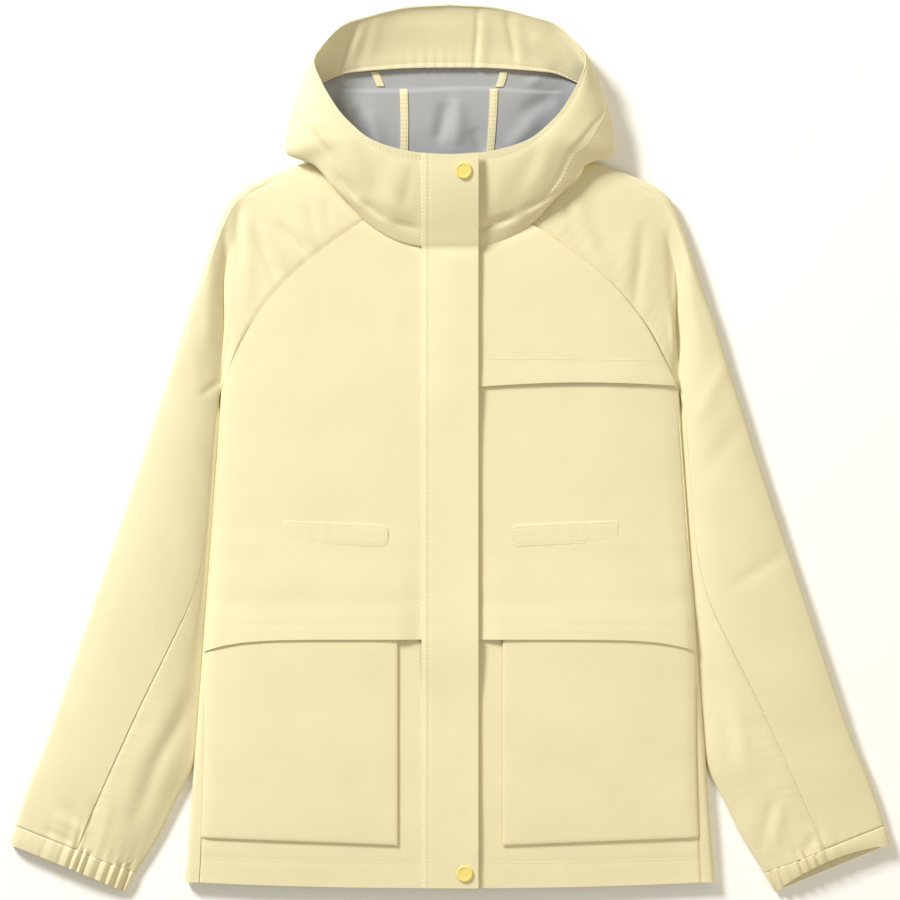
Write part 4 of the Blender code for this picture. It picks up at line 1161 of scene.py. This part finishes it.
class SleeveSection:
    """One cut across a sleeve: a level line from its inner to its outer fold."""

    def __init__(self, side, inner, outer, under, seam, crown, fold_top, on_cap, crease=0.0,
                 fold_in=SLEEVE_FOLD_IN):
        self.side = side
        self.inner = np.array(inner, float)
        self.outer = np.array(outer, float)
        self.under = np.array(under, float)
        self.width = float(np.linalg.norm(self.outer - self.inner))
        self.run = (self.outer - self.inner) / self.width
        self.on_cap = on_cap
        self.crown = crown
        self.fold_top = fold_top
        self.fold_out = fold_top / 2
        self.fold_in = fold_in
        self.start = 0.0 if on_cap else max(seam * self.width, 1.55 * fold_in)
        self.crease = crease * self.width if on_cap else mixed(self.start, self.width, 0.1)

    def point(self, across, height):
        out, y = self.inner + self.run * across
        return (self.side * out, y, height)

    def height(self, across):
        """Height of the top cloth at a distance from the inner end."""
        out, y = self.inner + self.run * across
        if self.on_cap:
            level = cap_height(out, y, self.crown)
        else:
            level = CREASE_HEIGHT + (self.crown - CREASE_HEIGHT) * rising(across, SLEEVE_RISE_IN)
        outer_rise = rising(self.width - self.fold_out - across, SLEEVE_RISE_OUT)
        return self.fold_top + (level - self.fold_top) * outer_rise

    def top(self, across):
        return self.point(across, self.height(across))

    def floor_at(self, start, share):
        """Point on the ground, from a place on the section line to the under seam."""
        out, y = mixed(self.inner + self.run * start, self.under, share)
        return (self.side * out, y, 0.0)

    def outer_fold(self):
        """Round the outer fold, from the top down to the ground."""
        centre = self.width - self.fold_out
        half = self.height(centre) / 2
        return [self.point(centre + self.fold_out * math.sin(math.radians(angle)),
                           half * (1 + math.cos(math.radians(angle))))
                for angle in (45, 90, 135, 180)]

    def inner_fold(self):
        """Round the inner fold, from the ground up to the top."""
        half = self.height(self.fold_in) / 2
        return [self.point(self.fold_in * (1 - math.sin(math.radians(angle))),
                           half * (1 + math.cos(math.radians(angle))))
                for angle in (135, 90, 45, 0)]


def sleeve_sections(side):
    """Sections of one sleeve from the neck down to the cuff's edge."""
    sections = []
    for row in reversed(RAGLAN_ROWS):
        _, _, _, outer_out, outer_y, back_out, back_y, _, crease = row
        sections.append(SleeveSection(side, seam_point(side, row), (outer_out, outer_y),
                                      (back_out, back_y), 0.0, CAP_CROWN, OUTER_FOLD_TOP,
                                      True, crease))
    last = len(ARM_ROWS) - 1
    for k, (_, inner_out, inner_y, outer_out, outer_y, seam, crown) in enumerate(ARM_ROWS):
        if inner_out is None:
            inner_out = body_half_width(inner_y) + SLEEVE_CLEARANCE
        inner, outer = np.array((inner_out, inner_y)), np.array((outer_out, outer_y))
        fold_top = mixed(OUTER_FOLD_TOP, CUFF_FOLD_TOP, k / last)
        fold_in = ARMPIT_FOLDS[k] if k < len(ARMPIT_FOLDS) else SLEEVE_FOLD_IN
        sections.append(SleeveSection(side, inner, outer, (inner + outer) / 2, seam, crown,
                                      fold_top, False, fold_in=fold_in))
    return sections


def sleeve_top_line(section):
    """From the front seam over the top, round the outer fold and back to the under seam."""
    start, crease = section.start, section.crease
    end = section.width - section.fold_out
    edge = SIDE_FOLD if section.on_cap else (crease - start) * 0.6
    places = [start, mixed(start, crease - edge, 0.5), crease - edge, crease - edge * 0.45,
              crease - edge * 0.12, crease + 0.2]
    places += [mixed(crease, end, share) for share in SLEEVE_TOP_SHARES]
    points = [section.top(place) for place in places] + section.outer_fold()
    return points + [section.floor_at(end, share) for share in (0.35, 0.7, 1.0)]


def sleeve_under_line(section):
    """From the under seam to the inner fold, up round it and over to the top seam."""
    points = [section.floor_at(section.fold_in, share) for share in (1.0, 0.5)]
    points += section.inner_fold()
    return points + [section.top(mixed(section.fold_in, section.start, share))
                     for share in (0.35, 0.7, 1.0)]


def gathered(grid, side):
    """Folds of a sleeve, with the elastic's gathers near the cuff."""
    return with_folds(grid, cuff_gathers(side, grid.points[:, :, 0], grid.points[:, :, 1]))


def seam_shows(grid, first_hidden, last_hidden):
    """For each row, whether the sleeve's seam shows or lies in the crease beside the body."""
    start, end = (grid.down[grid.row_marks[k]] for k in (first_hidden, last_hidden))
    return 1 - eased((grid.down - start + 10) / 10) * (1 - eased((grid.down - end) / 25))


def under_fine(sections):
    """Close grid of the under piece, which runs up a little under the armpit."""
    caps = len(RAGLAN_ROWS)
    lines = [np.array(sleeve_under_line(section)) for section in sections[caps:-1]]
    above, armpit = (np.array(sleeve_top_line(section)[0]) for section in sections[caps - 1:caps + 1])
    lines.insert(0, lines[0] + above - armpit - (0.0, 0.0, 0.6))
    return FineGrid.through(lines, SLEEVE_STEP, (0, -1), (-1,))


def make_sleeves():
    """Top piece with the raglan cap, and under piece, of each sleeve."""
    lines = []
    # the sleeves take the cloth with painted shade
    cloth, lining = painted_shade_material(), lining_material()
    caps = len(RAGLAN_ROWS)
    for side, name in SIDE_NAMES.items():
        sections = sleeve_sections(side)
        top = FineGrid.through([sleeve_top_line(s) for s in sections[:-1]], SLEEVE_STEP, (0, -1),
                               (0, -1))
        gathered(top, side)
        top.raise_by(neck_drop(top, "start"))
        top.sewn(["end"])
        top.sewn(["first"], weights=seam_shows(top, caps, caps + 4))
        under = under_fine(sections)
        gathered(under, side)
        under.sewn(["last"], weights=seam_shows(under, 1, 5))
        add_cloth(f"sleeve_top_{name}", top.points, inner_side(top), [cloth, lining])
        add_cloth(f"sleeve_under_{name}", under.points, inner_side(under), [cloth, lining])
        make_cuff(side, sections[-2], sections[-1], lines)
    sew("stitching_cuffs", lines)


def cuff_line(first, last, share, side, back_way):
    """One line round the sleeve hem, part of the way from its stitching to its edge."""
    section = SleeveSection(side, mixed(first.inner, last.inner, share),
                            mixed(first.outer, last.outer, share),
                            mixed(first.under, last.under, share), 0.0,
                            mixed(first.crown, last.crown, share),
                            mixed(first.fold_top, last.fold_top, share), False)
    end = section.width - section.fold_out
    points = [section.floor_at(SLEEVE_FOLD_IN, part) for part in (1.0, 0.5)]
    points += section.inner_fold()
    for part in (0.06, 0.14, 0.24, 0.36, 0.48, 0.6, 0.72, 0.84, 0.93):
        back = CUFF_OPENING[side] * share * math.sin(math.pi * part) ** 0.7
        x, y, z = section.top(mixed(SLEEVE_FOLD_IN + 1.0, end, part))
        points.append((x + side * back_way[0] * back, y + back_way[1] * back, z))
    points += [section.top(end)] + section.outer_fold()
    return points + [section.floor_at(end, part) for part in (0.5, 1.0)]


def make_cuff(side, stitch, edge, lines):
    """Sleeve hem: a ring of cloth with the elastic's gathers across its inner half."""
    back_way = unit((stitch.inner + stitch.outer - edge.inner - edge.outer) / 2)
    control = [cuff_line(stitch, edge, share, side, back_way) for share in (0.0, 0.35, 0.7, 1.0)]
    grid = FineGrid.through(control, CUFF_STEP, (0, -1), ())
    gathered(grid, side)
    bulge = 0.8 * np.sin(np.pi * np.clip(grid.edge_distance("start") / grid.down[-1], 0, 1))
    grid.raise_by(bulge * top_share(grid))
    grid.sewn(["start"], facing=np.array((0.0, 0.0, 0.6)))
    name = f"cuff_{SIDE_NAMES[side]}"
    grid.points[:, :, 2] = np.maximum(grid.points[:, :, 2], 0.0)
    # the cuff takes the cloth with painted shade
    add_cloth(name, grid.points, inner_side(grid), [painted_shade_material()], held="gathered",
              rests_on=[f"sleeve_top_{SIDE_NAMES[side]}"])
    line, normals = grid.stitched("start", CUFF_STITCH, depth=0.2)
    high = line[:, 2] > 6.0
    lines.append((line[high], normals[high] * np.sign(normals[high][:, 2:].mean())))


# Hood


def hood_line(row):
    """Points of one line of the hood's outer cloth, from the rim down to its foot."""
    _, rim, widest, foot, seam_share, roll = row
    rim, widest, foot = (np.array(point, float) for point in (rim, widest, foot))
    plan_share, rise_share = UNDERSIDE_FLOOR if foot[2] == 0 else UNDERSIDE_NECK
    points = []
    for share in (0.0, seam_share / 3, 2 * seam_share / 3, seam_share, 1.0):
        point = mixed(rim, widest, share)
        point[2] += roll * 4 * share * (1 - share)
        points.append(point)
    under = mixed(widest, foot, plan_share)
    under[2] = mixed(foot[2], widest[2], rise_share)
    return points + [under, foot]


def towards_brim(grid, side, centre, line):
    """Cells of one half of the hood that lie on the brim's side of a line."""
    rows = np.arange(len(grid.down) - 1)[:, None]
    if side == RIGHT:
        return rows < grid.row_marks[line]
    return rows >= grid.row_marks[2 * centre - line]


def make_hood_shell():
    """Side and front pieces of the hood, from the rim round the roll to the neck seam."""
    right = hood_control(RIGHT)
    control = np.concatenate([right, hood_control(LEFT)[-2::-1]])
    centre = len(HOOD_ROWS) - 1
    seams = (0, centre - 1, centre, centre + 1, -1)
    grid = FineGrid.through(control, HOOD_STEP, seams, (0, SEAM_COLUMN, -1))
    x, y = grid.points[:, :, 0], grid.points[:, :, 1]
    up = np.clip(abs(grid.normals()[:, :, 2]) * 1.3, 0, 1)
    rim = grid.edge_distance("first")
    settle = np.clip(rim / 14, 0.15, 1.0) * np.clip(grid.edge_distance("last") / 12, 0, 1)
    widest = grid.edge_distance("last") > grid.across[-1] - grid.across[grid.column_marks[-3]]
    heights = (folds_height(HOOD_FOLDS, x, y) + 0.8 * wander(x, y)) * up * settle
    grid.raise_by(np.where(widest, heights, heights * 0.3))
    grid.raise_by(-0.45 * np.exp(-(((rim - RIM_STITCH) / 1.2) ** 2)))
    seam_at = grid.across[grid.column_marks[SEAM_COLUMN]]
    seam = abs(grid.across - seam_at)[None, :]
    names = [row[0] for row in HOOD_ROWS]
    first, last = (names.index(name) for name in SIDE_SEAM_ROWS)
    spans = ((first, last), (2 * centre - last, 2 * centre - first))
    on_seam = np.zeros((len(grid.down), 1))
    for start, end in spans:
        since, until = (grid.down - grid.down[grid.row_marks[k]] for k in (start, end))
        on_seam[:, 0] += eased(since / HOOD_SEAM_END) * eased(-until / HOOD_SEAM_END)
    grid.raise_by(-0.9 * np.exp(-((seam / 2.0) ** 2)) * on_seam)
    grid.points[:, :, 2] = np.maximum(grid.points[:, :, 2], 0.0)
    normals = grid.normals()
    outward = np.sign(normals[grid.row_marks[centre], grid.column_marks[2], 2])
    inner = grid.points - normals * outward * WALL
    inner[:, :, 2] = np.maximum(inner[:, :, 2], 0.2)
    cloth, lining = softshell_material(), lining_material()
    below_seam = np.arange(len(grid.across) - 1)[None, :] >= grid.column_marks[SEAM_COLUMN]
    for side, name in SIDE_NAMES.items():
        half, before_first, before_last = (
            towards_brim(grid, side, centre, k) for k in (centre, first, last))
        in_side = half & (before_first | (before_last & below_seam))
        for part, used in (("side", in_side), ("front", half & ~in_side)):
            add_cloth(f"hood_{part}_{name}", grid.points, inner, [cloth, lining], used=used,
                      gap=HOOD_SEAM_GAP)
    facing = normals * outward
    k = int(np.argmin(abs(grid.across - RIM_STITCH)))
    lines = [(grid.points[:, k], facing[:, k])]
    beside = int(np.argmin(abs(grid.across - seam_at - HOOD_SEAM_STITCH)))
    for start, end in spans:
        span = slice(grid.row_marks[start], grid.row_marks[end] + 1)
        lines.append((grid.points[span, beside], facing[span, beside]))
    sew("stitching_hood", lines)


def make_hood_centre():
    """The hood's centre back, flat on the ground inside the foot of its sides."""
    stations = [(row[3][1], row[3][0]) for row in HOOD_ROWS[1:10]]
    inset = 5.0
    rows = [(y - (inset if k == 0 else 0.0), max(out - inset, 20.0))
            for k, (y, out) in enumerate(stations)]
    rows.append((BACK_NECK_Y + 0.4, 118.0))
    control = [[(share * half, y, 0.0) for share in (-1, -0.5, 0, 0.5, 1)] for y, half in rows]
    grid = FineGrid.through(control, BACK_STEP)
    grid.points[:, :, 2] = 0.0
    add_cloth("hood_centre", grid.points, grid.points + (0, 0, WALL),
              [softshell_material(), lining_material()])


def make_facing():
    """Band of the outer cloth turned in along the brim, with its own creases."""
    half = []
    for (out, y), row in zip(FACING_EDGE, HOOD_ROWS):
        rim = np.array(row[1], float)
        edge = np.array((out, y, FACING_FLOOR))
        inwards = unit((edge - rim) * (1, 1, 0))
        line = [rim + inwards * step + (0, 0, up) for step, up in FACING_ROLL]
        start = line[-1]
        for share, down in FACING_STEPS[1:]:
            point = mixed(start, edge, share)
            point[2] = mixed(start[2], FACING_FLOOR, down)
            line.append(point)
        half.append(line)
    half = np.array(half)
    control = np.concatenate([half[:0:-1] * (-1, 1, 1), half])
    grid = FineGrid.through(control, FACING_STEP, (0, -1), (0, -1))
    x, y = grid.points[:, :, 0], grid.points[:, :, 1]
    ends = np.clip(grid.edge_distance("first") / 8, 0, 1)
    heights = 1.1 * folds_height(FACING_FOLDS, x, y) + 0.8 * wander(x, y)
    edge = grid.edge_distance("last")
    run = x + 4 * np.sin(x / 29)
    ripples = 0.45 * np.sin(run / 1.9) * np.exp(-edge / 8) * np.exp(-(((x + 20) / 38) ** 2))
    grid.raise_by((heights + ripples) * ends)
    hem, groove = np.exp(-(((edge - 1.2) / 1.4) ** 2)), np.exp(-(((edge - 3.4) / 0.9) ** 2))
    grid.raise_by(0.5 * hem - 0.5 * groove)
    line, normals = grid.stitched("last", FACING_STITCH, depth=0.2)
    normals = normals * np.sign(grid.normals()[:, :, 2].mean())
    # the facing takes the cloth with painted shade
    add_cloth("hood_facing", grid.points, grid.below(), [painted_shade_material()],
              rests_on=["hood_side_right", "hood_side_left"])
    sew("stitching_facing", [(line, normals)])


def lining_relief(x, y):
    """Folds of the lining, and the ledge where its lower part lies over its upper part."""
    inside = 1 - eased((abs(x) - 112) / 14)
    wavering = LINING_LEDGE_Y + 1.2 * np.sin(x / 23 + 0.6) - (x / 130) ** 2 * 3
    ledge = LINING_LEDGE_RISE * inside / (1 + np.exp((y - wavering) / 0.5))
    return 1.9 * folds_height(LINING_FOLDS, x, y) + 0.9 * wander(x, y) + ledge


def lining_control():
    control = []
    for y, half, side_height in LINING_ROWS:
        rise = [mixed(LINING_FLOOR, side_height, float(eased((abs(share) - 0.82) / 0.18)))
                for share in LINING_ACROSS]
        control.append([(share * half, y, height) for share, height in zip(LINING_ACROSS, rise)])
    return control


def lining_top(x, y):
    """Height of the lining's flat middle at many points."""
    return LINING_FLOOR + 0.9 + lining_relief(x, y)


def make_lining():
    """Grey lining in the hood and the cloth tapes over its seams."""
    grid = FineGrid.through(lining_control(), LINING_STEP)
    x, y = grid.points[:, :, 0], grid.points[:, :, 1]
    grid.raise_by(0.9 + lining_relief(x, y) * np.clip(1.4 - abs(x) / 150, 0, 1))
    add_cloth("hood_lining", grid.points, grid.below(LINING_WALL), [lining_material()], slot="lining",
              rests_on=["hood_centre"])
    lines = []
    for name, x0, y0, x1, y1 in SEAM_TAPES:
        control = []
        for share in np.linspace(0, 1, 9):
            x = mixed(x0, x1, share) + 0.8 * math.sin(3 * share)
            y = mixed(y0, y1, share)
            half = TAPE_WIDTH / 2
            control.append([(x + across * half, y, 0.0) for across in (-1, -0.5, 0, 0.5, 1)])
        tape = FineGrid.through(control, TAPE_STEP, (0, -1), (0, -1))
        x, y = tape.points[:, :, 0], tape.points[:, :, 1]
        middle = x.mean(axis=1, keepdims=True) + 0 * x
        crown = 0.9 - 0.3 * ((x - middle) / (TAPE_WIDTH / 2)) ** 2
        tape.raise_by(lining_top(middle, y) + 0.5 + crown)
        for edge in ("first", "last"):
            line, normals = tape.stitched(edge, TAPE_STITCH, depth=0.2)
            lines.append((line, normals * np.sign(normals[:, 2].mean())))
        add_cloth(f"seam_tape_{name}", tape.points, tape.below(TAPE_WALL), [softshell_material()],
                  slot="tape", rests_on=["hood_lining"])
    sew("stitching_tapes", lines)


# Studio


def add_area_light(name, place, size, colour, power):
    """Soft square light aimed at the jacket."""
    light = bpy.data.lights.new(name, "AREA")
    light.size = size
    light.energy = power
    light.color = colour
    lamp = bpy.data.objects.new(name, light)
    lamp.location = place
    lamp.rotation_euler = (-Vector(place)).to_track_quat("-Z", "Y").to_euler()
    bpy.context.scene.collection.objects.link(lamp)


def make_stage():
    """Pale floor, soft light from the upper left and a camera straight above."""
    scene = bpy.context.scene
    studio = scene.jacket_studio
    mesh = bpy.data.meshes.new("floor")
    corners = [(x * FLOOR_HALF, y * FLOOR_HALF, 0) for x, y in ((-1, -1), (1, -1), (1, 1), (-1, 1))]
    mesh.from_pydata(corners, [], [(0, 1, 2, 3)])
    mesh.materials.append(new_material("pale_floor", studio.floor_colour, 0.9)[0])
    floor = bpy.data.objects.new("floor", mesh)
    floor.location.z = -FLOOR_DROP
    scene.collection.objects.link(floor)
    add_area_light("key_light", *KEY_LIGHT, studio.key_power)
    add_area_light("fill_light", *FILL_LIGHT, studio.fill_power)
    world = bpy.data.worlds.new("studio")
    world.use_nodes = True
    background = world.node_tree.nodes["Background"]
    background.inputs["Color"].default_value = ROOM_COLOUR
    background.inputs["Strength"].default_value = studio.ambient
    scene.world = world
    camera = bpy.data.cameras.new("camera")
    camera.lens = studio.lens
    camera.sensor_width = SENSOR_WIDTH
    camera.clip_end = SIGHT
    eye = bpy.data.objects.new("camera", camera)
    eye.location = (0.0, 0.0, studio.camera_height)
    scene.collection.objects.link(eye)
    scene.camera = eye
    scene.view_settings.view_transform = "Standard"


# Add-on classes


def slot_colour(name):
    """Base colour that the record gives a material slot."""
    for material in frame["record"]["materials"]:
        if material["slot"] == name:
            return tuple(material["base_color"][:3]) + (1.0,)
    raise KeyError(name)


class JacketCloth(bpy.types.PropertyGroup):
    """Colours of the jacket, its folds and its sewing."""

    cloth_colour: bpy.props.FloatVectorProperty(
        name="Cloth colour", description="Dye of the softshell", subtype="COLOR", size=4,
        min=0.0, max=1.0, default=(0.794, 0.727, 0.468, 1.0))
    lining_colour: bpy.props.FloatVectorProperty(
        name="Lining colour", description="Backing seen in the hood", subtype="COLOR", size=4,
        min=0.0, max=1.0, default=(0.384, 0.390, 0.402, 1.0))
    snap_colour: bpy.props.FloatVectorProperty(
        name="Snap colour", description="Lacquer of the press studs", subtype="COLOR", size=4,
        min=0.0, max=1.0, default=slot_colour("snap"))
    fold_strength: bpy.props.FloatProperty(
        name="Fold strength", description="Height of the soft folds, as a share", default=1.3,
        min=0.0, max=2.0, subtype="FACTOR")
    stitch_length: bpy.props.FloatProperty(
        name="Stitch length", description="Length of one stitch", default=0.0031, min=0.001,
        unit="LENGTH")
    stitch_gap: bpy.props.FloatProperty(
        name="Stitch gap", description="Space between two stitches", default=0.0013, min=0.0002,
        unit="LENGTH")
    thread_width: bpy.props.FloatProperty(
        name="Thread width", description="Width of the sewing thread", default=0.00085,
        min=0.0002, unit="LENGTH")


class JacketStudio(bpy.types.PropertyGroup):
    """Floor, light and camera."""

    floor_colour: bpy.props.FloatVectorProperty(
        name="Floor colour", description="Pale floor under the jacket", subtype="COLOR", size=4,
        min=0.0, max=1.0, default=(0.97, 0.97, 0.97, 1.0))
    key_power: bpy.props.FloatProperty(
        name="Key light", description="Power of the light from the upper left", default=356.0,
        min=0.0, unit="POWER")
    fill_power: bpy.props.FloatProperty(
        name="Fill light", description="Power of the light from the lower right", default=66.0,
        min=0.0, unit="POWER")
    ambient: bpy.props.FloatProperty(
        name="Room light", description="Even light from all around", default=0.38, min=0.0)
    lens: bpy.props.FloatProperty(
        name="Lens", description="Focal length in millimetres", default=180.0, min=1.0)
    camera_height: bpy.props.FloatProperty(
        name="Camera height", description="Height of the camera above the floor", default=4.788,
        min=0.5, unit="LENGTH")


class JACKET_OT_back(bpy.types.Operator):
    """Back with its side strips folded to the front"""

    bl_idname = "jacket.back"
    bl_label = "Back"

    def execute(self, context):
        make_back()
        return {"FINISHED"}


class JACKET_OT_fronts(bpy.types.Operator):
    """Both layers of the two fronts"""

    bl_idname = "jacket.fronts"
    bl_label = "Fronts"

    def execute(self, context):
        make_front_pieces()
        return {"FINISHED"}


class JACKET_OT_pockets(bpy.types.Operator):
    """Two bellows patch pockets"""

    bl_idname = "jacket.pockets"
    bl_label = "Pockets"

    def execute(self, context):
        make_pockets()
        return {"FINISHED"}


class JACKET_OT_waist_tabs(bpy.types.Operator):
    """Stitched ends of the waist channel"""

    bl_idname = "jacket.waist_tabs"
    bl_label = "Waist tabs"

    def execute(self, context):
        make_waist_tabs()
        return {"FINISHED"}


class JACKET_OT_chest_flap(bpy.types.Operator):
    """Flap over the wearer's left chest"""

    bl_idname = "jacket.chest_flap"
    bl_label = "Chest flap"

    def execute(self, context):
        make_chest_flap()
        return {"FINISHED"}


class JACKET_OT_sleeves(bpy.types.Operator):
    """Raglan sleeves with their gathered hems"""

    bl_idname = "jacket.sleeves"
    bl_label = "Sleeves"

    def execute(self, context):
        make_sleeves()
        return {"FINISHED"}


class JACKET_OT_hood_centre(bpy.types.Operator):
    """Centre back of the hood"""

    bl_idname = "jacket.hood_centre"
    bl_label = "Hood centre"

    def execute(self, context):
        make_hood_centre()
        return {"FINISHED"}


class JACKET_OT_hood_shell(bpy.types.Operator):
    """Side and front pieces of the hood"""

    bl_idname = "jacket.hood_shell"
    bl_label = "Hood"

    def execute(self, context):
        make_hood_shell()
        return {"FINISHED"}


class JACKET_OT_lining(bpy.types.Operator):
    """Grey lining and its seam tapes"""

    bl_idname = "jacket.lining"
    bl_label = "Lining"

    def execute(self, context):
        make_lining()
        return {"FINISHED"}


class JACKET_OT_facing(bpy.types.Operator):
    """Band turned in along the brim"""

    bl_idname = "jacket.facing"
    bl_label = "Facing"

    def execute(self, context):
        make_facing()
        return {"FINISHED"}


class JACKET_OT_storm_flap(bpy.types.Operator):
    """Flap over the zip"""

    bl_idname = "jacket.storm_flap"
    bl_label = "Storm flap"

    def execute(self, context):
        make_storm_flap()
        return {"FINISHED"}


class JACKET_OT_snaps(bpy.types.Operator):
    """Caps of the two press studs"""

    bl_idname = "jacket.snaps"
    bl_label = "Press studs"

    def execute(self, context):
        make_snaps()
        return {"FINISHED"}


class JACKET_OT_stage(bpy.types.Operator):
    """Floor, light and camera"""

    bl_idname = "jacket.stage"
    bl_label = "Stage"

    def execute(self, context):
        make_stage()
        return {"FINISHED"}


OPERATORS = (JACKET_OT_back, JACKET_OT_fronts, JACKET_OT_pockets,
             JACKET_OT_waist_tabs, JACKET_OT_chest_flap, JACKET_OT_sleeves,
             JACKET_OT_hood_centre, JACKET_OT_hood_shell, JACKET_OT_lining,
             JACKET_OT_facing, JACKET_OT_storm_flap, JACKET_OT_snaps,
             JACKET_OT_stage)


class JACKET_PT_pieces(bpy.types.Panel):
    """Lists the jacket's operators and settings."""

    bl_idname = "JACKET_PT_pieces"
    bl_label = "Jacket"
    bl_space_type = "VIEW_3D"
    bl_region_type = "UI"
    bl_category = "Jacket"

    def draw(self, context):
        for settings in (context.scene.jacket_cloth, context.scene.jacket_studio):
            box = self.layout.box()
            for name in settings.__annotations__:
                box.prop(settings, name)
        for each in OPERATORS:
            self.layout.operator(each.bl_idname)


CLASSES = (JacketCloth, JacketStudio, *OPERATORS, JACKET_PT_pieces)


def register():
    for each in CLASSES:
        bpy.utils.register_class(each)
    bpy.types.Scene.jacket_cloth = bpy.props.PointerProperty(type=JacketCloth)
    bpy.types.Scene.jacket_studio = bpy.props.PointerProperty(type=JacketStudio)


def unregister():
    del bpy.types.Scene.jacket_studio
    del bpy.types.Scene.jacket_cloth
    for each in reversed(CLASSES):
        bpy.utils.unregister_class(each)


def main():
    register()
    for each in OPERATORS:
        name = each.bl_idname.split(".")[1]
        getattr(bpy.ops.jacket, name)()


if __name__ == "__main__":
    main()
